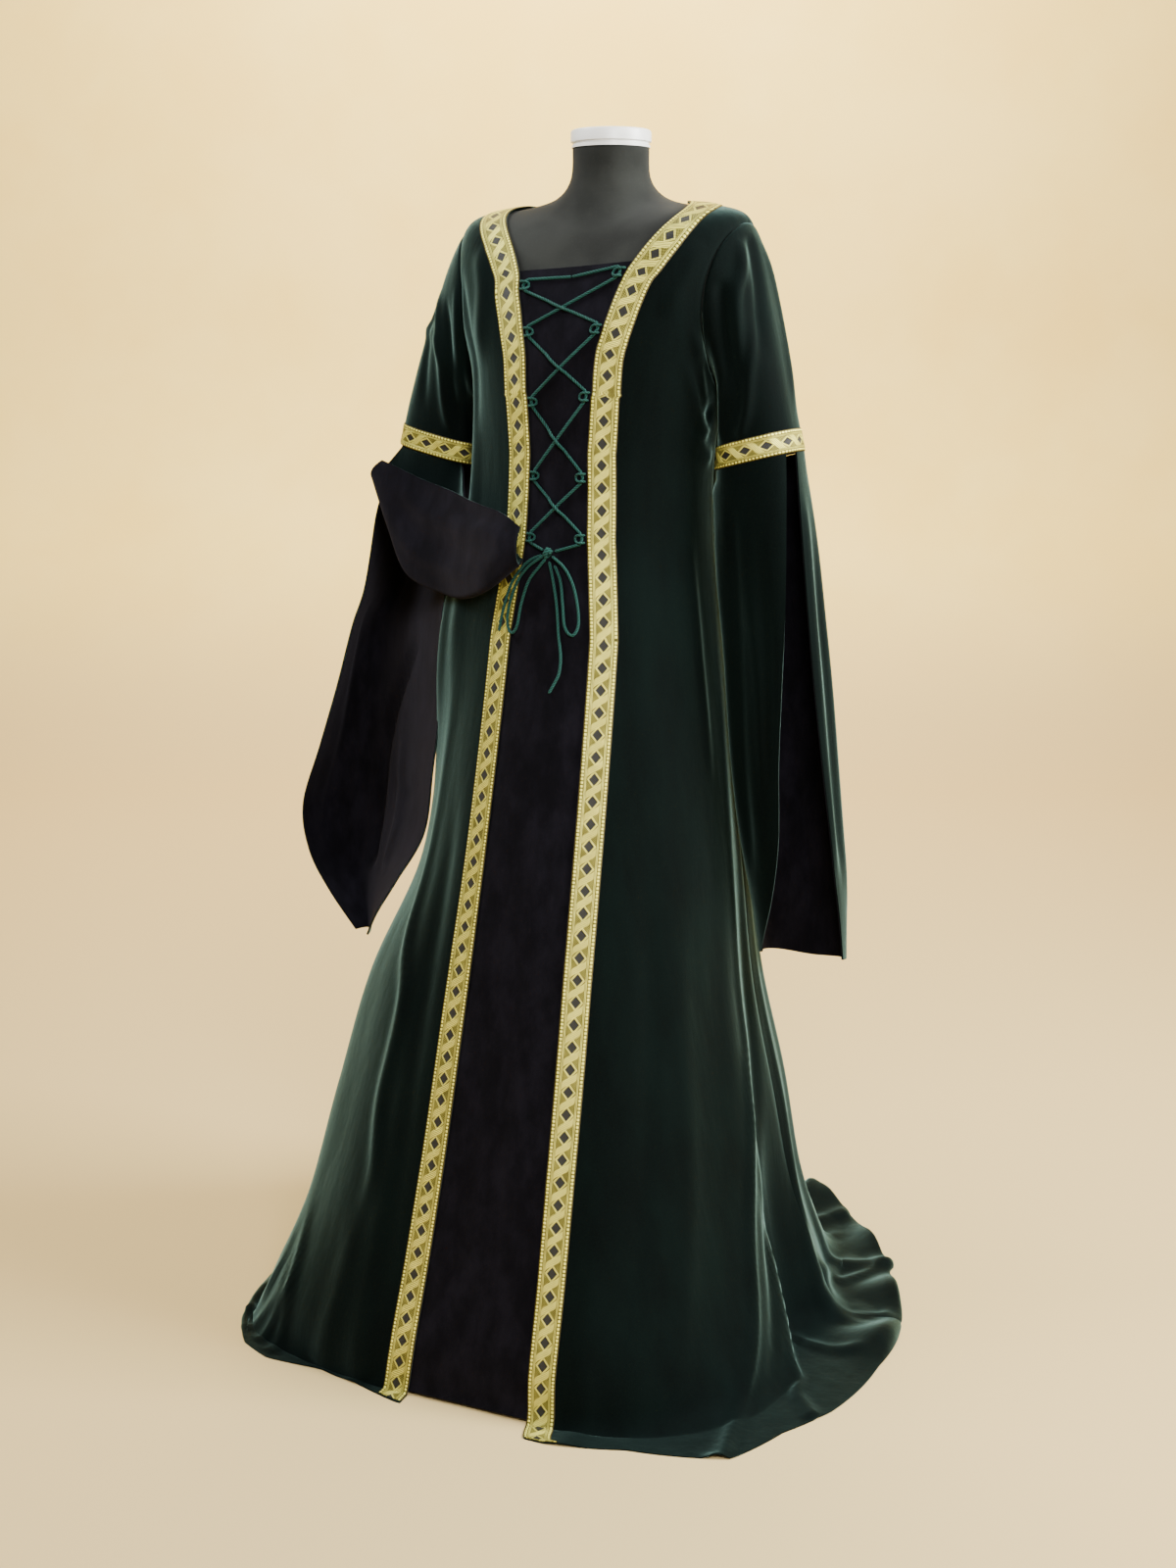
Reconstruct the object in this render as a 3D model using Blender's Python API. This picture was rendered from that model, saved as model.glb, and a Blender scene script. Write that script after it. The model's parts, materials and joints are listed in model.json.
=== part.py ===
"""Velvet gown with hanging sleeves and a laced front, on a limbless dress form.

Metres, +Z up. The floor is z = 0 and the pole of the stand is the Z axis. The front of the
gown looks along -Y, so the wearer's left is +X. Round the body an angle is measured from
the centre front, positive towards the wearer's left. Rings are counted from the neck down.
"""

import math

import bmesh
import bpy
import numpy as np

# Thicknesses and clearances
VELVET = 0.0014
LINING = 0.0010
BRAID = 0.0012
SEAM = 0.0003
FORM_REST = 0.0016
FORM_FRONT_REST = 0.0012
FORM_FRONT_ANGLES = (50, 75)

# Braid tape and cord
BRAID_WIDTH = 0.035
BAND_HEIGHT = 0.028
SLIT_BACK_TURN = 0.03
CORD = 0.0038
LOOP_CORD = 0.0030

# Stand
POLE_RADIUS = 0.016
BASE_RADIUS = 0.150
BASE_THICKNESS = 0.014
CAP_RADIUS = 0.050
CAP_HEIGHT = 0.022
FORM_BOTTOM = 0.735

# Rings of the dress form and of the gown over it. The columns are the height at the side,
# front and back, the y of the centre, the reach to the left, right, front and back, and how
# square the ring is in front and behind.
SHOULDER_RINGS = (
    (1.497, 1.497, 1.497, 0.020, 0.049, 0.049, 0.049, 0.049, 2.0, 2.0),
    (1.462, 1.455, 1.466, 0.020, 0.051, 0.051, 0.053, 0.050, 2.0, 2.0),
    (1.441, 1.415, 1.448, 0.018, 0.068, 0.068, 0.068, 0.060, 2.0, 2.0),
    (1.430, 1.388, 1.434, 0.012, 0.100, 0.100, 0.084, 0.078, 2.0, 2.0),
    (1.424, 1.360, 1.414, 0.006, 0.146, 0.140, 0.096, 0.088, 2.1, 2.1),
    (1.409, 1.330, 1.386, 0.000, 0.186, 0.176, 0.108, 0.096, 2.2, 2.2),
    (1.364, 1.300, 1.344, 0.000, 0.196, 0.190, 0.119, 0.100, 2.3, 2.3),
    (1.295, 1.266, 1.292, 0.000, 0.184, 0.184, 0.128, 0.102, 2.3, 2.3),
    (1.225, 1.222, 1.228, 0.000, 0.168, 0.168, 0.132, 0.100, 2.2, 2.2),
)
FORM_RINGS = SHOULDER_RINGS + (
    (1.130, 1.130, 1.130, 0.000, 0.134, 0.134, 0.106, 0.090, 2.1, 2.1),
    (1.030, 1.030, 1.030, 0.000, 0.116, 0.116, 0.090, 0.088, 2.0, 2.0),
    (0.900, 0.900, 0.900, 0.000, 0.146, 0.146, 0.104, 0.100, 2.0, 2.0),
    (FORM_BOTTOM, FORM_BOTTOM, FORM_BOTTOM, 0.000, 0.148, 0.148, 0.104, 0.104, 2.0, 2.0),
)
GOWN_RINGS = SHOULDER_RINGS + (
    (1.130, 1.130, 1.130, 0.000, 0.150, 0.155, 0.133, 0.100, 2.1, 2.1),
    (1.030, 1.030, 1.030, 0.000, 0.147, 0.160, 0.142, 0.104, 2.0, 2.0),
    (0.900, 0.900, 0.900, 0.000, 0.159, 0.186, 0.166, 0.116, 2.0, 2.0),
    (0.750, 0.750, 0.750, 0.000, 0.175, 0.206, 0.200, 0.132, 2.0, 2.1),
    (0.600, 0.600, 0.600, 0.000, 0.190, 0.232, 0.236, 0.156, 2.1, 2.1),
    (0.450, 0.450, 0.450, 0.000, 0.206, 0.296, 0.272, 0.190, 2.3, 2.1),
    (0.300, 0.300, 0.300, 0.000, 0.236, 0.328, 0.311, 0.234, 2.5, 2.1),
    (0.160, 0.160, 0.160, 0.000, 0.260, 0.342, 0.350, 0.272, 3.0, 2.0),
    (0.060, 0.060, 0.060, 0.000, 0.290, 0.371, 0.382, 0.318, 3.4, 1.9),
    (0.000, 0.000, 0.000, 0.000, 0.318, 0.390, 0.394, 0.360, 3.6, 1.8),
    (0.000, 0.000, 0.000, 0.000, 0.365, 0.400, 0.405, 0.420, 3.6, 1.8),
    (0.000, 0.000, 0.000, 0.000, 0.410, 0.420, 0.420, 0.475, 3.6, 1.8),
)
FLOOR_RING = 18
HEM_RING = len(GOWN_RINGS) - 1
FLOOR_BLEND = 0.5
TOP_RING = 4
FRONT_DEPTH_PART = 6
NEARLY_ZERO = 1e-6
LEAST_LENGTH = 1e-12

# Outline of the hem on the floor. The columns are the angle and the reach.
HEM_OUTLINE = (
    (-180, 0.472), (-165, 0.460), (-150, 0.436), (-135, 0.416), (-120, 0.409), (-105, 0.412),
    (-90, 0.425), (-75, 0.443), (-59, 0.472), (-51, 0.492), (-43, 0.500), (-37, 0.486),
    (-29, 0.436), (-20, 0.424), (-12, 0.425), (0, 0.412), (11, 0.434), (16, 0.444),
    (28, 0.452), (42, 0.493), (52, 0.463), (62, 0.455), (79, 0.428), (90, 0.420),
    (104, 0.407), (117, 0.397), (135, 0.404), (152, 0.434), (160, 0.438), (172, 0.462),
    (180, 0.472),
)

# Large folds of the skirt. The columns are the ring and angle of the top, the ring and
# angle of the foot, the half width in degrees and the height at the foot. A trough has a
# negative height.
SKIRT_FOLDS = (
    (11.5, 84, 20, 43, 9, 0.020),
    (14.0, 74, 20, 61, 6, 0.022),
    (14.5, 100, 20, 92, 9, 0.026),
    (14.0, 88, 19, 77, 9, -0.024),
    (11.5, -70, 20, -42, 9, 0.024),
    (14.5, -86, 20, -62, 9, -0.018),
    (13.5, -108, 20, -92, 9, 0.020),
    (12.5, 138, 20, 132, 12, 0.026),
    (12.0, 168, 20, 166, 9, 0.024),
    (12.0, -158, 20, -160, 10, 0.026),
    (12.5, -130, 20, -126, 12, 0.022),
    (12.0, 153, 20, 149, 9, -0.018),
    (12.0, -177, 20, -178, 9, -0.016),
    (12.0, -144, 20, -143, 9, -0.018),
)

FOLD_TOP_WIDTH = 0.75
FOLD_HEM_LOSS = 0.6

# Fullness at the wearer's right side, where the cloth stands out to the hanging sleeve. The
# rows are the height at one ring after another, from the first ring on.
SIDE_DRAPE = ((0.0,), (0.0,), (0.012,), (0.020,), (0.021,), (0.009,), (0.001,), (0.0,))
SIDE_DRAPE_RING = 7
SIDE_DRAPE_ANGLE = -66
SIDE_DRAPE_HALF_WIDTH = 18

# Ridges of the cloth that lies on the floor. The columns are the angle, the ring where the
# ridge is highest, the half width in degrees and the height.
TRAIN_RIDGES = (
    (88, 19.0, 7, 0.020),
    (108, 19.2, 6, 0.018),
    (131, 19.3, 7, 0.016),
    (154, 19.3, 7, 0.022),
    (178, 19.3, 6, 0.020),
    (-158, 19.3, 7, 0.018),
    (-132, 19.2, 8, 0.016),
    (-58, 19.0, 7, 0.012),
)

RIDGE_FIRST_RING = 17.6
RIDGE_LAST_RING = 19.95

# Front edge of each velvet front, from the shoulder down to the bust. The columns are the
# angle and the ring.
NECKLINE_LEFT = (
    (90.0, 3.15), (74.0, 3.72), (57.0, 4.36), (40.0, 5.20),
    (34.0, 5.60), (27.0, 6.40), (21.0, 7.35), (18.5, 8.30),
)
NECKLINE_RIGHT = (
    (90.0, 3.15), (67.0, 3.72), (44.0, 4.45), (31.8, 5.16),
    (28.0, 5.80), (23.5, 6.50), (19.5, 7.40), (18.5, 8.30),
)

# The same edges further down. The columns are the height and the opening's half width.
OPENING = (
    (1.225, 0.0435), (1.130, 0.0375), (1.030, 0.0400), (0.910, 0.0520), (0.730, 0.0560),
    (0.500, 0.0610), (0.280, 0.0680), (0.050, 0.0780), (0.000, 0.0820),
)
NECK_RING = 3.15
BACK_NECK_RING = 3.55
SHOULDER_GAP_RING = 0.004
SHOULDER_GAP_ANGLE = 0.0035

# Armhole: its middle on the side of the body, its reach in rings and in degrees
ARMHOLE_RING = 6.75
ARMHOLE_HALF_RINGS = 1.55
ARMHOLE_HALF_ANGLE = 25.0
SLEEVE_HEAD_SHARE = 0.994
SIDE_SEAM = 96.0
SEAM_TURN_RINGS = 3

# Rows and columns of the panels
NECK_ROWS = 14
SHOULDER_ROWS = 5
BACK_ARM_ROWS = 10
SKIRT_ROWS = 25
FRONT_COLUMNS = 9
BACK_COLUMNS = 11
UPPER_SLEEVE_ROWS = 7
HANG_ROWS = 9
HANG_COLUMNS = 8
TURNED_ROWS = 12
TURNED_COLUMNS = 9
FLAP_STATIONS = 9
FORM_SIDES = 28
FORM_ROWS = 16

# Centre panel: its first row among the rows of the fronts, and the ring of its hem
PANEL_TOP_ROW = 6
PANEL_HEM_RING = 17.85
PANEL_COLUMNS = 3

# Upper sleeve: the loop at its lower edge, with the outer side higher than the inner one
SLEEVE_CENTRE_X = {1: 0.2105, -1: 0.2265}
SLEEVE_HALF_X = {1: 0.0521, -1: 0.0590}
SLEEVE_HALF_Y = 0.0460
SLEEVE_SQUARE = 2.7
SLEEVE_END_Z = 1.121
SLEEVE_END_SLOPE = 0.24


# Side view of an upper sleeve: how far the cloth goes on straight from the armhole, outward
# and down, and straight into its lower edge, at the underarm and more at the shoulder
LEAVE_OUT = (0.014, 0.010)
LEAVE_DOWN = (0.004, 0.022)
ARRIVE_OUT = (0.0, 0.022)
ARRIVE_DOWN = (0.025, 0.070)

# Lower sleeve that hangs straight, as sections by height. The columns are the height, the
# centre's x and y, the half width in x and y, and the angles of the slit's back and front
# edges. The cloth runs from one of them round the back, the inner side and the front.
LEFT_HANG = (
    (1.1206, 0.2105, 0.000, 0.0521, 0.0460, 14, 35),
    (1.0500, 0.2183, 0.000, 0.0553, 0.0480, 21, 43),
    (0.9500, 0.2284, 0.001, 0.0592, 0.0500, 25, 53),
    (0.8500, 0.2377, 0.003, 0.0627, 0.0510, 26, 65),
    (0.7500, 0.2464, 0.006, 0.0636, 0.0510, 23, 77),
    (0.6500, 0.2578, 0.010, 0.0614, 0.0500, 19, 90),
    (0.5700, 0.2680, 0.014, 0.0595, 0.0460, 14, 116),
    (0.5050, 0.2733, 0.018, 0.0559, 0.0400, 4, 148),
)
LEFT_HEM_SAG = 0.020
LEFT_SAG_ROWS = (5, 7)
LEFT_SLOPE_ROWS = 3

# Lower sleeve whose front half is turned up to the waist: the hanging back half. The
# columns are the height and the x and y of its inner edge, deepest line and outer edge.
RIGHT_HANG = (
    (1.050, -0.192, -0.030, -0.290, 0.062, -0.328, -0.012),
    (0.946, -0.184, -0.083, -0.325, 0.060, -0.343, -0.022),
    (0.890, -0.187, -0.090, -0.350, 0.055, -0.360, -0.030),
    (0.805, -0.187, -0.096, -0.362, 0.050, -0.387, -0.030),
    (0.720, -0.192, -0.110, -0.368, 0.048, -0.417, -0.030),
    (0.635, -0.204, -0.115, -0.371, 0.040, -0.447, -0.030),
    (0.569, -0.241, -0.125, -0.373, 0.028, -0.439, -0.030),
    (0.515, -0.284, -0.106, -0.370, 0.014, -0.408, -0.030),
    (0.463, -0.335, -0.048, -0.352, -0.014, -0.366, -0.030),
)

RIGHT_TOP_ROWS = 1.3

# The front half that is turned up, at stations from the elbow to the waist. The columns are
# x, y and z of the upper edge of the visible layer, then of the fold below it, then of the
# upper edge of the layer behind.
RIGHT_FLAP = (
    (-0.298, -0.048, 1.119, -0.310, -0.046, 1.086, -0.2720, -0.0320, 1.1304),
    (-0.276, -0.058, 1.108, -0.277, -0.062, 1.023, -0.2465, -0.0427, 1.1242),
    (-0.227, -0.066, 1.091, -0.243, -0.076, 0.968, -0.2065, -0.0427, 1.1144),
    (-0.177, -0.086, 1.080, -0.181, -0.096, 0.949, -0.1847, -0.0350, 1.1086),
    (-0.128, -0.116, 1.069, -0.134, -0.126, 0.948, -0.1500, -0.0880, 1.0600),
    (-0.068, -0.155, 1.060, -0.081, -0.162, 0.965, -0.0950, -0.1330, 1.0200),
    (-0.035, -0.168, 1.045, -0.033, -0.172, 0.998, -0.0420, -0.1570, 1.0080),
)
FOLD_RADIUS = 0.0065
FLAP_SWELL = 0.005
FLAP_ACROSS = (0, 1, 2, 3, 3.5, 4, 4.5, 5, 6, 7)

# Lacing: the height of each row of loops on the wearer's left and right front edge
LACE_HEIGHTS_LEFT = (1.344, 1.278, 1.199, 1.103, 1.030)
LACE_HEIGHTS_RIGHT = (1.330, 1.275, 1.192, 1.104, 1.030)
LACE_INSET = 0.0052
LACE_TURN = 0.0075
BAR_TURN = 1.5 * LACE_TURN
LACE_RISE = 0.0065
LOOP_HALF_HEIGHT = 0.0045
LACE_CLEARANCE = 0.0006
CROSSING_WAYS = (0.33, 0.43, 0.57, 0.67)

# Arch of a loop, from the inner end. The columns are the inset from the braid's edge and
# the height over the cloth.
LOOP_ARCH = (
    (0.0020, 0.0023), (0.0030, 0.0053), (0.0064, 0.0071), (0.0098, 0.0062), (0.0134, 0.0029),
)
TOP_BAR_MIDDLE = (0.006, 1.339)

# Bow and lace ends, from the knot outward. The columns are x, z and the height over the
# cloth.
KNOT = (-0.006, 1.012)
KNOT_RADIUS = 0.0062
KNOT_SIDES = 12
KNOT_ROWS = 8
KNOT_LIFT = 0.0034
BOW_RIGHT = (
    (-0.0118, 1.0084, 0.0062), (-0.0190, 1.0040, 0.0060), (-0.0320, 0.9950, 0.0057),
    (-0.0460, 0.9780, 0.0056), (-0.0560, 0.9520, 0.0055), (-0.0580, 0.9280, 0.0055),
    (-0.0510, 0.9140, 0.0055), (-0.0425, 0.9220, 0.0055), (-0.0385, 0.9500, 0.0056),
    (-0.0300, 0.9780, 0.0056), (-0.0160, 0.9960, 0.0056), (-0.0082, 1.0052, 0.0062),
)
END_RIGHT = (
    (-0.0150, 1.0090, 0.0030), (-0.0240, 1.0060, 0.0036), (-0.0330, 1.0010, 0.0050),
    (-0.0420, 0.9925, 0.0056), (-0.0560, 0.9740, 0.0056), (-0.0660, 0.9420, 0.0056),
    (-0.0700, 0.9140, 0.0056),
)
BOW_LEFT = (
    (0.0000, 1.0088, 0.0062), (0.0160, 0.9960, 0.0044), (0.0280, 0.9760, 0.0030),
    (0.0360, 0.9490, 0.0024), (0.0385, 0.9260, 0.0024), (0.0320, 0.9150, 0.0024),
    (0.0220, 0.9250, 0.0022), (0.0170, 0.9520, 0.0022), (0.0120, 0.9790, 0.0024),
    (0.0030, 0.9975, 0.0030),
)
END_LEFT = (
    (-0.0050, 1.0020, 0.0024), (0.0020, 0.9800, 0.0022), (0.0095, 0.9500, 0.0022),
    (0.0150, 0.9150, 0.0022), (0.0200, 0.8900, 0.0022), (0.0200, 0.8700, 0.0022),
    (0.0150, 0.8570, 0.0022), (0.0090, 0.8450, 0.0022),
)

# Steps in the parameters of a surface for its normals, and rounds to find a place on it
BODY_STEP = 0.012
SLEEVE_STEP = 0.004
STATION_STEP = 0.05
SEARCH_ROUNDS = 14
MEASURING_POINTS = 161
SEARCH_CAUTION = 0.9
LEAST_SLOPE = 0.01
LEAST_REACH = 0.05

# Colours
VELVET_COLOUR = (0.008, 0.030, 0.028, 1.0)
BLACK_CLOTH_COLOUR = (0.012, 0.010, 0.014, 1.0)
BRAID_COLOUR = (0.62, 0.52, 0.18, 1.0)
CORD_COLOUR = (0.010, 0.110, 0.090, 1.0)
FORM_COLOUR = (0.030, 0.032, 0.034, 1.0)
METAL_COLOUR = (0.75, 0.75, 0.75, 1.0)


# Reading tables

def blend_rows(rows, at):
    """Reads a table between its rows, on a smooth curve through them."""
    rows = np.asarray(rows, float)
    at = np.clip(np.asarray(at, float), 0, len(rows) - 1)
    index = np.minimum(at.astype(int), len(rows) - 2)
    part = (at - index)[..., None]
    before = rows[np.maximum(index - 1, 0)]
    start = rows[index]
    end = rows[index + 1]
    after = rows[np.minimum(index + 2, len(rows) - 1)]
    return 0.5 * (
        2 * start
        + (end - before) * part
        + (2 * before - 5 * start + 4 * end - after) * part ** 2
        + (3 * start - before - 3 * end + after) * part ** 3
    )


def smooth(low, high, value):
    """Runs from 0 at the low value to 1 at the high one, with no corner."""
    part = np.clip((value - low) / (high - low), 0, 1)
    return part * part * (3 - 2 * part)


# Form of the body and skirt

def angle_apart(angle, other):
    """Signed distance between angles in degrees, the short way round."""
    return (angle - other + 180) % 360 - 180


def skirt_relief(angle, ring):
    """Height of the large folds, outward from the plain skirt."""
    drape = blend_rows(SIDE_DRAPE, np.asarray(ring, float) - SIDE_DRAPE_RING)[..., 0]
    apart = angle_apart(np.degrees(angle), SIDE_DRAPE_ANGLE) / SIDE_DRAPE_HALF_WIDTH
    relief = drape * np.exp(-apart ** 2)
    for top_ring, top_angle, foot_ring, foot_angle, half_width, height in SKIRT_FOLDS:
        share = smooth(top_ring, foot_ring - 1, ring)
        way = np.clip((ring - top_ring) / (foot_ring - top_ring), 0, 1)
        middle = top_angle + (foot_angle - top_angle) * way
        width = half_width * (FOLD_TOP_WIDTH + (1 - FOLD_TOP_WIDTH) * share)
        apart = angle_apart(np.degrees(angle), middle) / width
        flattened = 1 - FOLD_HEM_LOSS * smooth(FLOOR_RING, HEM_RING, ring)
        relief += height * share * flattened * np.exp(-apart ** 2)
    return relief


def train_relief(angle, ring):
    """Height of the ridges in the cloth that lies on the floor."""
    relief = np.zeros(np.broadcast(angle, ring).shape)
    for middle, top_ring, half_width, height in TRAIN_RIDGES:
        apart = angle_apart(np.degrees(angle), middle) / half_width
        rise = smooth(RIDGE_FIRST_RING, top_ring, ring)
        along = rise * (1 - smooth(top_ring, RIDGE_LAST_RING, ring))
        relief += height * along * np.exp(-apart ** 2)
    return relief


def ring_point(rows, angle, ring, folds=True):
    """Point on the body at an angle in radians on a ring, as an array of x, y and z."""
    angle, ring = np.broadcast_arrays(np.asarray(angle, float), np.asarray(ring, float))
    table = blend_rows(rows, ring)
    side_z, front_z, back_z, centre_y, left, right, front, back, square, back_square = (
        np.moveaxis(table, -1, 0)
    )
    across = np.sin(angle)
    ahead = np.cos(angle)
    half = np.where(across >= 0, left, right)
    depth = np.where(ahead >= 0, front, back)
    power = np.where(ahead >= 0, square, back_square)
    reach = (np.abs(across / half) ** power + np.abs(ahead / depth) ** power) ** (-1 / power)
    height = side_z * across ** 2 + np.where(ahead >= 0, front_z, back_z) * ahead ** 2
    if folds:
        reach = reach + skirt_relief(angle, ring)
        outline = np.array(HEM_OUTLINE)
        turned = angle_apart(np.degrees(angle), 0)
        hem = np.interp(turned, outline[:, 0], outline[:, 1])
        reach = reach + (hem - reach) * smooth(FLOOR_RING - FLOOR_BLEND, HEM_RING, ring)
        height = height + train_relief(angle, ring)
    return np.stack(
        [reach * across, centre_y - reach * ahead, np.maximum(height, 0)], -1
    )


def gown_point(angle, ring):
    """Point on the inner face of the gown's cloth."""
    return ring_point(GOWN_RINGS, angle, ring)


def outward(point_of, first, second, step):
    """Unit normals of a surface given by a function of two parameters."""
    along = point_of(first + step, second) - point_of(first - step, second)
    down = point_of(first, second + step) - point_of(first, second - step)
    normal = np.cross(down, along)
    length = np.linalg.norm(normal, axis=-1, keepdims=True)
    return normal / np.maximum(length, LEAST_LENGTH)


def gown_surface(angle, ring, lift):
    """Point at a distance outward from the inner face of the gown's cloth."""
    angle, ring = np.broadcast_arrays(np.asarray(angle, float), np.asarray(ring, float))
    inside = np.minimum(ring, HEM_RING - 2 * BODY_STEP)
    normal = outward(gown_point, angle, inside, BODY_STEP)
    flat = smooth(FLOOR_RING, FLOOR_RING + FLOOR_BLEND, ring)[..., None]
    point = gown_point(angle, ring)
    resting = (point[..., 2:] < NEARLY_ZERO) & (flat > 0)
    upright = np.zeros_like(normal)
    upright[..., 2] = 1
    normal = np.where(resting, normal * (1 - flat) + upright * flat, normal)
    normal = normal / np.linalg.norm(normal, axis=-1, keepdims=True)
    lifted = point + normal * np.asarray(lift, float)[..., None]
    lifted[..., 2] = np.maximum(lifted[..., 2], 0)
    return lifted


# Building solids

def make_collection(name):
    """A new collection in the scene."""
    collection = bpy.data.collections.new(name)
    bpy.context.scene.collection.children.link(collection)
    return collection


def make_material(name, colour, roughness, metallic=0.0):
    """A plain material."""
    material = bpy.data.materials.new(name)
    material.use_nodes = True
    shader = material.node_tree.nodes["Principled BSDF"]
    shader.inputs["Base Color"].default_value = colour
    shader.inputs["Roughness"].default_value = roughness
    shader.inputs["Metallic"].default_value = metallic
    return material


def add_object(name, data, material, collection):
    """Puts mesh or curve data in the scene as a named piece."""
    piece = bpy.data.objects.new(name, data)
    collection.objects.link(piece)
    data.materials.append(material)
    return piece


def loft(name, outer, inner, material, collection, ring=False):
    """A closed wall between two grids of points. A ring's columns close on themselves."""
    rows, columns = outer.shape[:2]
    points = np.concatenate([outer.reshape(-1, 3), inner.reshape(-1, 3)])
    second = rows * columns

    def corner(row, column, layer):
        return layer * second + row * columns + column % columns

    faces = []
    last = columns if ring else columns - 1
    for row in range(rows - 1):
        for column in range(last):
            for layer in (0, 1):
                quad = [
                    corner(row, column, layer),
                    corner(row + 1, column, layer),
                    corner(row + 1, column + 1, layer),
                    corner(row, column + 1, layer),
                ]
                faces.append(quad if layer == 0 else quad[::-1])
    for column in range(last):
        faces.append([
            corner(0, column + 1, 0), corner(0, column + 1, 1),
            corner(0, column, 1), corner(0, column, 0),
        ])
        faces.append([
            corner(rows - 1, column, 0), corner(rows - 1, column, 1),
            corner(rows - 1, column + 1, 1), corner(rows - 1, column + 1, 0),
        ])
    if not ring:
        for row in range(rows - 1):
            faces.append([
                corner(row, 0, 0), corner(row, 0, 1),
                corner(row + 1, 0, 1), corner(row + 1, 0, 0),
            ])
            faces.append([
                corner(row + 1, last, 0), corner(row + 1, last, 1),
                corner(row, last, 1), corner(row, last, 0),
            ])
    mesh = bpy.data.meshes.new(name)
    mesh.from_pydata(points.tolist(), [], faces)
    face_outward(mesh)
    return add_object(name, mesh, material, collection)


def face_outward(mesh):
    """Turns all faces of a closed mesh outward and splits them into triangles."""
    work = bmesh.new()
    work.from_mesh(mesh)
    bmesh.ops.triangulate(work, faces=work.faces)
    bmesh.ops.recalc_face_normals(work, faces=work.faces)
    if work.calc_volume(signed=True) < 0:
        bmesh.ops.reverse_faces(work, faces=work.faces)
    work.to_mesh(mesh)
    work.free()
    mesh.shade_smooth()


def tube(name, points, diameter, material, collection, sides=1):
    """A cord along points, as a curve with filled ends."""
    curve = bpy.data.curves.new(name, "CURVE")
    curve.dimensions = "3D"
    curve.bevel_depth = diameter / 2
    curve.bevel_resolution = sides
    curve.use_fill_caps = True
    spline = curve.splines.new("POLY")
    spline.points.add(len(points) - 1)
    for spot, point in zip(spline.points, points):
        spot.co = (*point, 1)
    return add_object(name, curve, material, collection)


# Panels of the body

def armhole(turn, side, share=1.0):
    """Angle and ring on the armhole, with turn 0 at the shoulder and a half at the underarm."""
    swing = 2 * math.pi * np.asarray(turn, float)
    angle = 90 - ARMHOLE_HALF_ANGLE * share * np.sin(swing)
    ring = ARMHOLE_RING - ARMHOLE_HALF_RINGS * share * np.cos(swing)
    return np.radians(angle) * side, ring


def armhole_turns():
    """Turns of the armhole at which the panels and the sleeve share their points."""
    front = np.arange(NECK_ROWS) / (2 * NECK_ROWS)
    back = 0.5 + np.arange(BACK_ARM_ROWS) / (2 * BACK_ARM_ROWS)
    return np.concatenate([front, back])


def underarm_ring():
    """Ring of the lowest point of the armhole."""
    return ARMHOLE_RING + ARMHOLE_HALF_RINGS


def opening_angle(ring):
    """Angle of the front edge on a ring, from the half width of the opening there."""
    angle = math.radians(NECKLINE_LEFT[-1][0])
    height = gown_point(angle, ring)[2]
    table = np.array(OPENING)
    half = np.interp(-height, -table[:, 0], table[:, 1])
    for _ in range(SEARCH_ROUNDS):
        reach = np.linalg.norm(gown_point(angle, ring)[:2])
        angle = math.asin(half / reach)
    return angle


def skirt_rings():
    """Rings of the rows below the armhole, one of them at the hem of the centre panel."""
    rings = np.linspace(underarm_ring(), HEM_RING, SKIRT_ROWS)
    nearest = np.argmin(np.abs(rings - PANEL_HEM_RING))
    rings[nearest] = PANEL_HEM_RING
    return rings


def seam_angle(ring):
    """Angle of the side seam, which runs towards the back below the underarm."""
    return 90 + (SIDE_SEAM - 90) * smooth(underarm_ring(), underarm_ring() + SEAM_TURN_RINGS, ring)


def front_rows(side):
    """Angle and ring of each row of a front at its front edge and at its outer edge."""
    neckline = NECKLINE_LEFT if side > 0 else NECKLINE_RIGHT
    edge = []
    outer = []
    for row in range(NECK_ROWS):
        way = row / NECK_ROWS
        angle, ring = blend_rows(neckline, way * (len(neckline) - 1))
        edge.append((math.radians(angle) * side, ring))
        outer.append(armhole(way / 2, side))
    for ring in skirt_rings():
        edge.append((opening_angle(ring) * side, ring))
        outer.append((math.radians(seam_angle(ring)) * side, ring))
    return np.array(edge, float), np.array(outer, float)


def back_rows(side):
    """Angle and ring of each row of a back at the centre back and at its outer edge."""
    tip_ring = ARMHOLE_RING - ARMHOLE_HALF_RINGS
    edge = []
    outer = []
    for row in range(SHOULDER_ROWS):
        way = row / SHOULDER_ROWS
        ring = NECK_RING + (tip_ring - NECK_RING) * way
        dip = (BACK_NECK_RING - NECK_RING) * (1 - way)
        edge.append((math.pi * side, ring + dip))
        outer.append((math.pi / 2 * side, ring))
    for row in range(BACK_ARM_ROWS):
        way = row / BACK_ARM_ROWS
        angle, ring = armhole(-way / 2, side)
        edge.append((math.pi * side, ring))
        outer.append((angle, ring))
    for ring in skirt_rings():
        edge.append((math.pi * side, ring))
        outer.append((math.radians(seam_angle(ring)) * side, ring))
    return np.array(edge, float), np.array(outer, float)


def row_place(edge, outer, way):
    """Angle and ring part of the way along rows."""
    angle = edge[:, None, 0] + (outer[:, None, 0] - edge[:, None, 0]) * way
    ring = edge[:, None, 1] + (outer[:, None, 1] - edge[:, None, 1]) * way
    return angle, ring


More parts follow.
